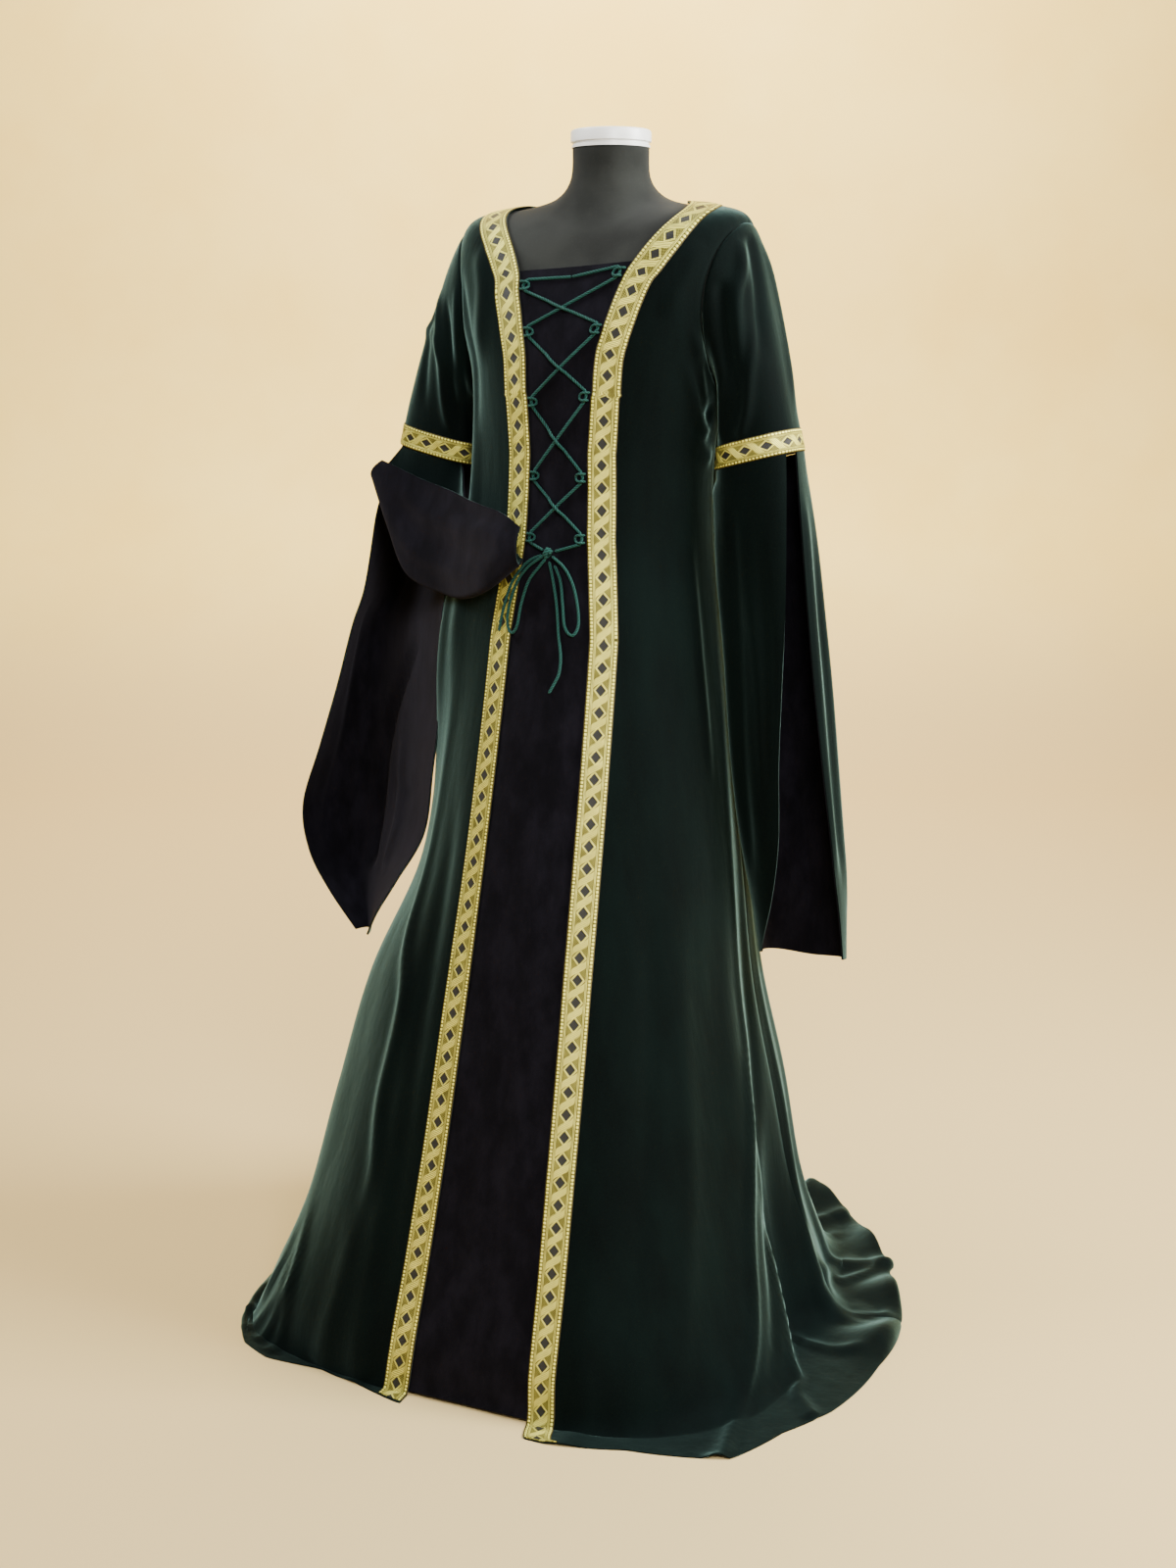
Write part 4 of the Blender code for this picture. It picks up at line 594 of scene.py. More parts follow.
# Patterns: how far each is stretched along x, y and z, and its share in the colour
VELVET_STRETCH = (1.0, 1.0, 0.18)
VELVET_BRUSHED = 0.6
VELVET_PATCHES = 0.6
VELVET_SPECKS = 0.35
BLACK_STRETCH = (1.0, 1.0, 0.45)
BLACK_FIBRE = 0.4
GOLD_METALLIC = 0.55
FORM_KNIT = 0.12
FORM_PATCHES = 0.75
FORM_DUST = 0.30
METAL_STRETCH = (1, 1, 30)
METAL_SHADE = 0.82
METAL_WEAR = 0.2
# Height over which the floor's painted shade gives way to the wall's colour
FLOOR_RISE = 0.7

# Braid's look: cycles of its weave, and the swing and the mean of the painted shade and highlight
# on each form
WEAVE_CYCLES = (11, 13)
RIB_CYCLES = 25
THREAD_CYCLES = 42
STRAND_PAINTED_SHADE = (0.36, 0.60)
WEAVE_PAINTED_SHADE = (0.3, 0.22)
RIB_PAINTED_SHADE = (0.30, 0.38)
OUTLINE_PAINTED_HIGHLIGHT = 0.35
WORN_LIGHT = 0.35
BORDER_PLACE = 0.355
WHOLE_REPEATS = 100.0

# Cord's look: how its fibres slant, their cycles round it and their share in its painted shade
FIBRE_SLANT = 2.2
FIBRE_CYCLES = 9
FIBRE_PAINTED_SHADE = 0.12

# Seams: half width and depth of the dip along them, and its reach on an upper sleeve
SEAM_HALF_WIDTH = 0.0035
SEAM_DEPTH = 0.0011
UPPER_SEAM_SHARE = 0.014

# Creases: points for each stop, reach in half widths, and where they fade out
CREASE_STEPS = 8
CREASE_REACH = 2.6
CREASE_FLOOR_RINGS = (1.2, 0.4)
UPPER_CREASE_FADE = (0.08, 0.94)

# Degrees past which an edge is shaded sharp, on cloth and on turned pieces
SHARP_ANGLE = 50
TURNED_SHARP_ANGLE = 35


# Curves, folds and rings

def blend_rows(rows, at):
    """Reads a table between its rows, on a smooth curve through them."""
    rows = np.asarray(rows, float)
    at = np.clip(np.asarray(at, float), 0, len(rows) - 1)
    index = np.minimum(at.astype(int), len(rows) - 2)
    part = (at - index)[..., None]
    before = rows[np.maximum(index - 1, 0)]
    start = rows[index]
    end = rows[index + 1]
    after = rows[np.minimum(index + 2, len(rows) - 1)]
    return 0.5 * (
        2 * start
        + (end - before) * part
        + (2 * before - 5 * start + 4 * end - after) * part ** 2
        + (3 * start - before - 3 * end + after) * part ** 3
    )


def smooth(low, high, value):
    """Runs from 0 at the low value to 1 at the high one, with no corner."""
    part = np.clip((value - low) / (high - low), 0, 1)
    return part * part * (3 - 2 * part)


def angle_apart(angle, other):
    """Signed distance between angles in degrees, the short way round."""
    return (angle - other + 180) % 360 - 180


def skirt_relief(angle, ring):
    """Height of the large folds, outward from the plain skirt."""
    turned_by = np.degrees(angle)
    drape = blend_rows(SIDE_DRAPE, np.asarray(ring, float) - SIDE_DRAPE_RING)[..., 0]
    apart = angle_apart(turned_by, SIDE_DRAPE_ANGLE) / SIDE_DRAPE_HALF_WIDTH
    relief = drape * np.exp(-apart ** 2)
    standing = 1 - FOLD_FLOOR_LOSS * smooth(*FOLD_FLOOR_RINGS, ring)
    for top_ring, top_angle, foot_ring, foot_angle, half_width, height in SKIRT_FOLDS:
        share = smooth(top_ring, foot_ring - 1, ring)
        way = np.clip((ring - top_ring) / (foot_ring - top_ring), 0, 1)
        middle = top_angle + (foot_angle - top_angle) * way
        width = half_width * (FOLD_HEAD_WIDTH + (1 - FOLD_HEAD_WIDTH) * share)
        apart = angle_apart(turned_by, middle) / width
        relief += height * share * standing * np.exp(-apart ** 2)
    return relief


def train_relief(angle, ring):
    """Height of the ridges in the cloth that lies on the floor."""
    relief = np.zeros(np.broadcast(angle, ring).shape)
    first_ring, last_ring = TRAIN_RINGS
    for middle, top_ring, half_width, height in TRAIN_RIDGES:
        apart = angle_apart(np.degrees(angle), middle) / half_width
        along = smooth(first_ring, top_ring, ring) * (1 - smooth(top_ring, last_ring, ring))
        relief += height * along * np.exp(-apart ** 2)
    return relief


def oval_reach(across, ahead, half_width, depth, power):
    """Distance to the edge of a squared oval, in a direction given across and ahead."""
    width_part = np.abs(across / half_width) ** power
    depth_part = np.abs(ahead / depth) ** power
    return (width_part + depth_part) ** (-1 / power)


def ring_point(rows, angle, ring, folds=True):
    """Point on the body at an angle in radians on a ring, as an array of x, y and z."""
    angle, ring = np.broadcast_arrays(np.asarray(angle, float), np.asarray(ring, float))
    table = blend_rows(rows, ring)
    side_z, front_z, back_z, centre_y, left, right, front, back, square, back_square = (
        np.moveaxis(table, -1, 0)
    )
    across = np.sin(angle)
    ahead = np.cos(angle)
    half = np.where(across >= 0, left, right)
    depth = np.where(ahead >= 0, front, back)
    power = np.where(ahead >= 0, square, back_square)
    reach = oval_reach(across, ahead, half, depth, power)
    height = side_z * across ** 2 + np.where(ahead >= 0, front_z, back_z) * ahead ** 2
    if folds:
        reach = reach + skirt_relief(angle, ring)
        outline = np.array(HEM_OUTLINE)
        turned = angle_apart(np.degrees(angle), 0)
        hem = np.interp(turned, outline[:, 0], outline[:, 1])
        reach = reach + (hem - reach) * smooth(FLOOR_RING - HEM_BLEND_RINGS, HEM_RING, ring)
        height = height + train_relief(angle, ring)
    return np.stack([reach * across, centre_y - reach * ahead, np.maximum(height, 0)], -1)


def gown_point(angle, ring):
    """Point on the inner face of the gown's cloth."""
    return ring_point(GOWN_RINGS, angle, ring)


def outward(point_of, first, second, step):
    """Unit normals of a surface given by a function of two parameters."""
    along = point_of(first + step, second) - point_of(first - step, second)
    down = point_of(first, second + step) - point_of(first, second - step)
    normal = np.cross(down, along)
    length = np.linalg.norm(normal, axis=-1, keepdims=True)
    return normal / np.maximum(length, 1e-12)


def gown_surface(angle, ring, lift):
    """Point at a distance outward from the inner face of the gown's cloth."""
    angle, ring = np.broadcast_arrays(np.asarray(angle, float), np.asarray(ring, float))
    normal = outward(gown_point, angle, np.minimum(ring, HEM_RING - HEM_MARGIN), BODY_STEP)
    first_lying, all_lying = (FLOOR_RING + part for part in LYING_RINGS)
    flat = smooth(first_lying, all_lying, ring)[..., None]
    point = gown_point(angle, ring)
    resting = (point[..., 2:] < ON_FLOOR) & (flat > 0)
    upright = np.zeros_like(normal)
    upright[..., 2] = 1
    normal = np.where(resting, normal * (1 - flat) + upright * flat, normal)
    normal = normal / np.linalg.norm(normal, axis=-1, keepdims=True)
    lifted = point + normal * np.asarray(lift, float)[..., None]
    lifted[..., 2] = np.maximum(lifted[..., 2], 0)
    return lifted


def armhole(turn, side, share=1.0):
    """Angle and ring on the armhole, with turn 0 at the shoulder and a half at the underarm."""
    swing = 2 * math.pi * np.asarray(turn, float)
    angle = 90 - ARMHOLE_HALF_ANGLE * share * np.sin(swing)
    ring = ARMHOLE_RING - ARMHOLE_HALF_RINGS * share * np.cos(swing)
    return np.radians(angle) * side, ring


def underarm_ring():
    """Ring of the lowest point of the armhole."""
    return ARMHOLE_RING + ARMHOLE_HALF_RINGS


def opening_angle(ring):
    """Angle of the front edge on a ring, from the half width of the opening there."""
    height = gown_point(OPENING_PROBE, ring)[2]
    table = np.array(OPENING)
    half = np.interp(-height, -table[:, 0], table[:, 1])
    angle = OPENING_START
    for _ in range(OPENING_ROUNDS):
        reach = np.linalg.norm(gown_point(angle, ring)[:2])
        angle = math.asin(half / reach)
    return angle


def seam_angle(ring):
    """Angle of the side seam, which runs towards the back below the underarm."""
    turning = smooth(underarm_ring(), underarm_ring() + SIDE_SEAM_TURN_RINGS, ring)
    return 90 + (SIDE_SEAM - 90) * turning


def row_place(edge, outer, way):
    """Angle and ring part of the way along rows."""
    angle = edge[:, None, 0] + (outer[:, None, 0] - edge[:, None, 0]) * way
    ring = edge[:, None, 1] + (outer[:, None, 1] - edge[:, None, 1]) * way
    return angle, ring


def row_columns(edge, outer, distances):
    """Angles and rings at distances along each row, given by a function of its length."""
    ways = np.linspace(0, 1, ROW_SAMPLES)
    angle, ring = row_place(edge, outer, ways)
    steps = np.linalg.norm(np.diff(gown_point(angle, ring), axis=1), axis=-1)
    lengths = np.concatenate([np.zeros((len(edge), 1)), np.cumsum(steps, axis=1)], axis=1)
    chosen = []
    for row, length in enumerate(lengths):
        chosen.append(np.interp(distances(row, length[-1]), length, ways))
    return row_place(edge, outer, np.array(chosen))


def edge_slant(edge, outer):
    """How much longer a strip's width is along a row than square to the front edge."""
    points = gown_point(edge[:, 0], edge[:, 1])
    down = np.gradient(points, axis=0)
    angle, ring = row_place(edge, outer, np.array([0.0, SLANT_WAY]))
    ends = gown_point(angle, ring)
    along = ends[:, 1] - ends[:, 0]
    cosine = (down * along).sum(-1) / (
        np.linalg.norm(down, axis=-1) * np.linalg.norm(along, axis=-1)
    )
    return 1 / np.sqrt(1 - cosine ** 2)


def sleeve_end(turn, side):
    """Point on the lower edge of an upper sleeve: turn 0 outside, a quarter in front."""
    turn = np.asarray(turn, float)
    across = np.cos(2 * math.pi * turn)
    ahead = np.sin(2 * math.pi * turn)
    reach = oval_reach(across, ahead, SLEEVE_HALF_X[side], SLEEVE_HALF_Y, SLEEVE_SQUARE)
    return np.stack([
        side * (SLEEVE_CENTRE_X[side] + reach * across),
        -reach * ahead,
        SLEEVE_END_Z + SLEEVE_END_SLOPE * reach * across,
    ], -1)


def upper_sleeve_point(turn, down, side):
    """Point on the outer face of an upper sleeve, from 0 at the armhole to 1 at its end."""
    turn, down = np.broadcast_arrays(np.asarray(turn, float), np.asarray(down, float))
    angle, ring = armhole(turn, side, SLEEVE_HEAD_SHARE)
    start = gown_surface(angle, ring, np.full(turn.shape, VELVET))
    end = sleeve_end(turn, side)
    top = (1 + np.cos(2 * math.pi * turn)) / 2
    leave_out = SLEEVE_LEAVE_OUT[0] + SLEEVE_LEAVE_OUT[1] * top
    leave_down = SLEEVE_LEAVE_DOWN[0] + SLEEVE_LEAVE_DOWN[1] * top
    meet_up = SLEEVE_MEET_UP[0] + SLEEVE_MEET_UP[1] * top
    zero = np.zeros_like(top)
    leave = np.stack([side * leave_out, zero, -leave_down], -1)
    meet = np.stack([-side * SLEEVE_MEET_OUT * top, zero, meet_up], -1)
    way = down[..., None]
    return (
        start * (1 - way) ** 3
        + 3 * (start + leave) * way * (1 - way) ** 2
        + 3 * (end + meet) * way ** 2 * (1 - way)
        + end * way ** 3
    )


def left_hang_point(turn, row):
    """Point on the outer face of the lower sleeve that hangs straight."""
    turn, row = np.broadcast_arrays(np.asarray(turn, float), np.asarray(row, float))
    height, centre_x, centre_y, half_x, half_y = np.moveaxis(
        blend_rows(LEFT_HANG, row), -1, 0
    )[:5]
    across = np.cos(2 * math.pi * turn)
    ahead = np.sin(2 * math.pi * turn)
    reach = oval_reach(across, ahead, half_x, half_y, SLEEVE_SQUARE)
    slope = SLEEVE_END_SLOPE * (1 - smooth(0, LEFT_SLOPE_ROWS, row))
    height = height - LEFT_HEM_SAG * (1 - ahead) / 2 * smooth(*LEFT_SAG_ROWS, row)
    return np.stack([
        centre_x + reach * across,
        centre_y - reach * ahead,
        height + slope * reach * across,
    ], -1)


def right_hang_point(turn, row):
    """Point on the outer face of the hanging half of the other lower sleeve."""
    turn, row = np.broadcast_arrays(np.asarray(turn, float), np.asarray(row, float))
    height, inner_x, inner_y, deep_x, deep_y, outer_x, outer_y = np.moveaxis(
        blend_rows(RIGHT_HANG, np.maximum(row - 1, 0)), -1, 0
    )
    inner = np.stack([inner_x, inner_y, height], -1)
    deep = np.stack([deep_x, deep_y, height], -1)
    outer = np.stack([outer_x, outer_y, height], -1)
    way = ((turn - 0.5) / (0.5 + SLIT_BACK_TURN))[..., None]
    middle = 2 * deep - (inner + outer) / 2
    section = inner * (1 - way) ** 2 + 2 * middle * way * (1 - way) + outer * way ** 2
    top = sleeve_end(turn, -1)
    top[..., 2] -= SEAM
    share = smooth(0, RIGHT_BLEND_ROWS, row)[..., None]
    return top * (1 - share) + section * share


def flap_point(station, across):
    """Point on the lining's face of the half that is turned up, from its upper edge."""
    station, across = np.broadcast_arrays(
        np.asarray(station, float), np.asarray(across, float)
    )
    table = blend_rows(RIGHT_FLAP, station)
    edge, fold, back = table[..., :3], table[..., 3:6], table[..., 6:]
    after = blend_rows(RIGHT_FLAP, station + FLAP_STEP)
    path = after - blend_rows(RIGHT_FLAP, station - FLAP_STEP)
    front = np.stack([path[..., 4], -path[..., 3], np.zeros(station.shape)], -1)
    front /= np.linalg.norm(front, axis=-1, keepdims=True)
    rise = np.array([0, 0, FOLD_RADIUS])
    front_foot = fold + front * FOLD_RADIUS + rise
    back_foot = fold - front * FOLD_RADIUS + rise
    swell = front * FLAP_SWELL
    swollen = [edge + (front_foot - edge) * share + swell for share in FLAP_SWELL_SHARES]
    behind = back_foot + (back - back_foot) * 0.5
    stops = np.stack([edge, *swollen, front_foot, fold, back_foot, behind, back])
    points = np.empty(station.shape + (3,))
    for spot in np.ndindex(station.shape):
        points[spot] = blend_rows(stops[(slice(None), *spot)], across[spot])
    return points


def place_at(x, z, lift=0.0):
    """Angle and ring under the point on the front of the gown with this x and height."""
    x, z, lift = np.broadcast_arrays(
        np.asarray(x, float), np.asarray(z, float), np.asarray(lift, float)
    )
    rings = np.arange(PLACE_FIRST_RING, FLOOR_RING)
    heights = np.array(GOWN_RINGS)[PLACE_FIRST_RING:FLOOR_RING, 1]
    ring = np.interp(-z, -heights, rings)
    angle = x / PLACE_DEPTH
    for _ in range(PLACE_ROUNDS):
        point = gown_surface(angle, ring, lift)
        below = gown_surface(angle, ring + PLACE_STEP, lift)
        slope = np.maximum((point[..., 2] - below[..., 2]) / PLACE_STEP, PLACE_LEAST_SLOPE)
        ring = ring + PLACE_DAMPING * (point[..., 2] - z) / slope
        reach = np.maximum(-point[..., 1], PLACE_LEAST_REACH)
        angle = angle + (x - point[..., 0]) / reach * np.cos(angle) ** 2
    return angle, ring


def over_cloth(x, z, lift):
    """Point with this x and height, at a distance over the gown's inner face."""
    angle, ring = place_at(x, z, lift)
    return gown_surface(angle, ring, lift)


def stops_over_cloth(stops):
    """Points over the cloth at stops given by x, height and distance over it."""
    table = np.array(stops)
    return over_cloth(table[:, 0], table[:, 1], table[:, 2])


def edge_line(side):
    """Heights and x of the braid's front edge, from the hem up."""
    angle, ring = front_rows(side)[0].T
    points = gown_surface(angle, ring, np.full(angle.shape, VELVET + SEAM + BRAID / 2))
    return points[::-1, 2], points[::-1, 0]


def beside_edge(edges, side, height, inset):
    """The x of a point inside the braid's front edge, square to the edge."""
    line = np.interp([height, height + SLANT_STEP, height - SLANT_STEP], *edges[side])
    slant = (line[1] - line[2]) / (2 * SLANT_STEP)
    return line[0] - side * inset * math.hypot(1, slant)


def lace_path(first_side, edges):
    """Route of half the lace, from the middle of the top bar down to the knot."""
    low = CORD / 2 + LACE_CLEARANCE
    over = low + CORD + SEAM

    def stop(side, height, inset):
        return (beside_edge(edges, side, height, inset), height, low)

    side = first_side
    height = LACE_HEIGHTS[side][0]
    stops = [
        (TOP_BAR_MIDDLE[0] + side * SEAM, TOP_BAR_MIDDLE[1], low),
        stop(side, height + LACE_RISE, LACE_TURN * FIRST_TURN_SHARE),
        stop(side, height, LACE_INSET),
    ]
    for row in range(1, len(LACE_HEIGHTS[side])):
        start = stop(side, height - LACE_RISE, LACE_TURN)
        over_other = (row % 2 == 0) == (first_side > 0)
        crossing = over if over_other else low
        side = -side
        height = LACE_HEIGHTS[side][row]
        end = stop(side, height + LACE_RISE, LACE_TURN)
        stops.append(start)
        for way, lift in zip(LACE_WAYS, (low, crossing, crossing, low)):
            x = start[0] + (end[0] - start[0]) * way
            z = start[1] + (end[1] - start[1]) * way
            stops.append((x, z, lift))
        stops.append(end)
        stops.append(stop(side, height, LACE_INSET))
    last = stop(side, height - LACE_RISE, LACE_TURN)
    stops.append(last)
    away = np.array(last[:2]) - KNOT
    away = away * (KNOT_RADIUS + CORD / 2 + SEAM) / np.linalg.norm(away)
    stops.append((KNOT[0] + away[0], KNOT[1] + away[1], KNOT_LIFT))
    return stops_over_cloth(stops)


def loop_path(side, height, edges):
    """A small loop of cord over the lace's turn at a front edge."""
    legs = [(LOOP_HALF_HEIGHT, spot) for spot in LOOP_ARCH]
    legs += [(-LOOP_HALF_HEIGHT, spot) for spot in LOOP_ARCH[::-1]]
    stops = []
    for rise, (inset, lift) in legs:
        if inset == LOOP_ARCH[-1][0]:
            rise = rise / 2
        stops.append((beside_edge(edges, side, height + rise, inset), height + rise, lift))
    return stops_over_cloth(stops)


# Fine rows of the body

def line_lengths(points):
    """Length along a line up to each of its points."""
    steps = np.linalg.norm(np.diff(points, axis=0), axis=-1)
    return np.concatenate([[0], np.cumsum(steps)])


def skirt_rings():
    """Rings of the rows below the armhole."""
    return np.linspace(underarm_ring(), HEM_RING, SKIRT_ROWS)


def front_rows(side):
    """Angle and ring of each row of a front at its front edge and at its outer edge."""
    neckline = NECKLINE_LEFT if side > 0 else NECKLINE_RIGHT
    ways = np.arange(NECK_ROWS) / NECK_ROWS
    edge = blend_rows(neckline, ways * (len(neckline) - 1))
    edge[:, 0] = np.radians(edge[:, 0]) * side
    outer = np.stack(armhole(ways / 2, side), -1)
    rings = skirt_rings()
    opening = np.array([opening_angle(ring) for ring in rings]) * side
    on_floor = np.clip((rings - FLOOR_RING) / (HEM_RING - FLOOR_RING), 0, 1)
    opening += np.radians(HEM_SLIP[side]) * on_floor
    seam = np.radians(seam_angle(rings)) * side
    edge = np.concatenate([edge, np.stack([opening, rings], -1)])
    outer = np.concatenate([outer, np.stack([seam, rings], -1)])
    return edge, outer


def back_rows(side):
    """Angle and ring of each row of a back at the centre back and at its outer edge."""
    tip_ring = ARMHOLE_RING - ARMHOLE_HALF_RINGS
    shoulder = np.arange(SHOULDER_ROWS) / SHOULDER_ROWS
    arm = np.arange(BACK_ARM_ROWS) / BACK_ARM_ROWS
    rings = NECK_RING + (tip_ring - NECK_RING) * shoulder
    dip = (BACK_NECK_RING - NECK_RING) * (1 - shoulder)
    arm_angle, arm_ring = armhole(-arm / 2, side)
    skirt = skirt_rings()
    edge_ring = np.concatenate([rings + dip, arm_ring, skirt])
    outer_ring = np.concatenate([rings, arm_ring, skirt])
    outer_angle = np.concatenate([
        np.full(SHOULDER_ROWS, math.pi / 2 * side), arm_angle,
        np.radians(seam_angle(skirt)) * side,
    ])
    edge_angle = np.full(len(edge_ring), math.pi * side)
    return np.stack([edge_angle, edge_ring], -1), np.stack([outer_angle, outer_ring], -1)


def even_rows(edge, outer, columns):
    """Angles and rings of rows with evenly spaced columns."""
    def distances(row, length):
        return np.linspace(SEAM / 2, length - SEAM / 2, columns)

    return row_columns(edge, outer, distances)


def front_grid(side):
    """Angles and rings of a front."""
    edge, outer = front_rows(side)
    return even_rows(edge, outer, FRONT_COLUMNS)


def back_grid(side):
    """Angles and rings of a back."""
    edge, outer = back_rows(side)
    angle, ring = even_rows(edge, outer, BACK_COLUMNS)
    way = (np.arange(SHOULDER_ROWS) / SHOULDER_ROWS)[:, None]
    turned = np.abs(np.degrees(angle[:SHOULDER_ROWS])) - 90
    dip = (BACK_NECK_RING - NECK_RING) * (1 - way)
    plain = NECK_RING + (ARMHOLE_RING - ARMHOLE_HALF_RINGS - NECK_RING) * way
    ring[:SHOULDER_ROWS] = plain + dip * smooth(0, 90, turned)
    return angle, ring


def centre_grid():
    """Angles and rings of the centre panel, which runs under both front edges."""
    edges = {side: front_rows(side) for side in (1, -1)}
    first = int(NECK_ROWS * PANEL_TOP_SHARE)
    last = NECK_ROWS + int(np.argmin(np.abs(skirt_rings() - PANEL_HEM_RING))) + 1
    rows = slice(first, last)
    under = {}
    for side, (edge, outer) in edges.items():
        slant = edge_slant(edge, outer)

        def distances(row, length):
            return np.array([0, 0.5, 1]) * PANEL_UNDERLAP * slant[row]

        angle, ring = row_columns(edge, outer, distances)
        under[side] = (angle[rows], ring[rows])
    left = gown_point(under[1][0][:, :1], under[1][1][:, :1])
    right = gown_point(under[-1][0][:, :1], under[-1][1][:, :1])
    ways = np.linspace(0, 1, PANEL_COLUMNS + 2)[None, 1:-1, None]
    inside = right + (left - right) * ways
    middle = place_at(inside[..., 0], inside[..., 2])
    return tuple(
        np.concatenate([under[-1][part][:, ::-1], middle[part], under[1][part]], axis=1)
        for part in (0, 1)
    )


# Creases

def segment_distance(points, line):
    """Distance of points from a line of segments, and how far along it the nearest one is."""
    nearest = np.full(len(points), np.inf)
    along = np.zeros(len(points))
    count = len(line) - 1
    for index in range(count):
        start = line[index]
        step = line[index + 1] - start
        way = np.clip((points - start) @ step / (step @ step), 0, 1)
        apart = np.linalg.norm(points - start - way[:, None] * step, axis=-1)
        closer = apart < nearest
        nearest = np.where(closer, apart, nearest)
        along = np.where(closer, (index + way) / count, along)
    return nearest, along


def crease_relief(points, creases, point_of):
    """Height of soft creases at points of a surface, given by places on that surface."""
    flat = points.reshape(-1, 3)
    relief = np.zeros(len(flat))
    for half_width, height, head, foot, *stops in creases:
        places = blend_rows(stops, np.linspace(0, len(stops) - 1, CREASE_STEPS * len(stops)))
        line = point_of(places[:, 0], places[:, 1])
        reach = CREASE_REACH * half_width
        near = ((flat > line.min(0) - reach) & (flat < line.max(0) + reach)).all(-1)
        apart, along = segment_distance(flat[near], line)
        ends = np.ones(len(apart))
        if head:
            ends = ends * smooth(0, head, along)
        if foot:
            ends = ends * (1 - smooth(1 - foot, 1, along))
        relief[near] += height * ends * np.exp(-(apart / half_width) ** 2)
    return relief.reshape(points.shape[:-1])


def body_place(angle, ring):
    """Point of the gown at an angle in degrees."""
    return gown_point(np.radians(angle), ring)


def body_relief(angle, ring):
    """Height of the creases of the gown's body, with no troughs where it lies on the floor."""
    relief = crease_relief(gown_point(angle, ring), BODY_CREASES, body_place)
    first_lying, all_lying = (FLOOR_RING - part for part in CREASE_FLOOR_RINGS)
    lying = smooth(first_lying, all_lying, ring)
    return np.maximum(relief, 0) * lying + relief * (1 - lying)


# Building pieces

def link_piece(name, data, material, node):
    """Puts data in the scene as a piece that rides on the gown and stands for a CAD node."""
    piece = bpy.data.objects.new(name, data)
    bpy.context.scene.collection.objects.link(piece)
    data.materials.append(material)
    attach(piece, BODY)
    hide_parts(node)
    return piece


def grid_quads(index, inward=False):
    """Quads between the neighbours of a grid of point numbers."""
    corners = [index[:-1, :-1], index[1:, :-1], index[1:, 1:], index[:-1, 1:]]
    if inward:
        corners = [corners[0], *corners[:0:-1]]
    return np.stack(corners, -1).reshape(-1, 4)


def closed_rows(rows, columns):
    """Point numbers of rows that run round, with the first column again as the last."""
    index = np.arange(rows * columns).reshape(rows, columns)
    return np.concatenate([index, index[:, :1]], axis=1)


def coarse_faces(rows, columns, step):
    """Faces of a closed wall with an inner grid that keeps only some rows and columns."""
    index = np.arange(rows * columns).reshape(rows, columns)
    kept_rows = np.unique(np.append(np.arange(0, rows, step), rows - 1))
    kept_columns = np.unique(np.append(np.arange(0, columns, step), columns - 1))
    inner = rows * columns + np.arange(len(kept_rows) * len(kept_columns))
    inner = inner.reshape(len(kept_rows), len(kept_columns))
    faces = grid_quads(index).tolist() + grid_quads(inner, inward=True).tolist()
    rims = (
        (index[0, ::-1], inner[0, ::-1], columns - 1 - kept_columns[::-1]),
        (index[-1], inner[-1], kept_columns),
        (index[:, 0], inner[:, 0], kept_rows),
        (index[::-1, -1], inner[::-1, -1], rows - 1 - kept_rows[::-1]),
    )
    for rim, below, stops in rims:
        for spot in range(len(stops) - 1):
            edge = rim[stops[spot]:stops[spot + 1] + 1].tolist()
            faces.append([*edge[::-1], int(below[spot]), int(below[spot + 1])])
    return faces, kept_rows, kept_columns


def wall_faces(rows, columns, ring):
    """Quads of a closed wall between two grids of points that follow each other."""
    second = rows * columns
    index = np.arange(second).reshape(rows, columns)
    if ring:
        index = closed_rows(rows, columns)
    outer = grid_quads(index)
    faces = [outer, outer[:, ::-1] + second]
    rims = [index[0, ::-1], index[-1]]
    if not ring:
        rims += [index[:, 0], index[::-1, -1]]
    for rim in rims:
        faces.append(np.stack([rim[:-1], rim[:-1] + second, rim[1:] + second, rim[1:]], -1))
    return np.concatenate(faces)


def closed_mesh(name, points, faces, uv=None):
    """A smooth mesh with its faces turned outward, from the points and faces of a solid."""
    mesh = bpy.data.meshes.new(name)
    mesh.from_pydata(points.tolist(), [], faces)
    quads = np.array([face for face in faces if len(face) == 4])
    if signed_volume(points, quads) < 0:
        mesh.flip_normals()
    if uv is not None:
        set_uv(mesh, uv)
    mesh.shade_smooth()
    mesh.set_sharp_from_angle(angle=math.radians(SHARP_ANGLE))
    return mesh


def make_wall(name, outer, inner, material, node, ring=False):
    """A closed thin wall between two grids of points."""
    points = np.concatenate([outer.reshape(-1, 3), inner.reshape(-1, 3)])
    faces = wall_faces(*outer.shape[:2], ring).tolist()
    return link_piece(name, closed_mesh(name, points, faces), material, node)


def signed_volume(points, faces):
    """Volume inside a closed mesh of quads, negative when its faces turn inward."""
    a, b, c, d = (points[faces[:, corner]] for corner in range(4))
    parts = (a * np.cross(b, c)).sum(-1) + (a * np.cross(c, d)).sum(-1)
    return parts.sum() / 6


def set_uv(mesh, places):
    """Gives each point of a mesh its place on the texture plane."""
    layer = mesh.uv_layers.new(name="UVMap")
    corners = np.empty(len(mesh.loops), np.int32)
    mesh.loops.foreach_get("vertex_index", corners)
    layer.data.foreach_set("uv", places[corners].astype(np.float32).ravel())


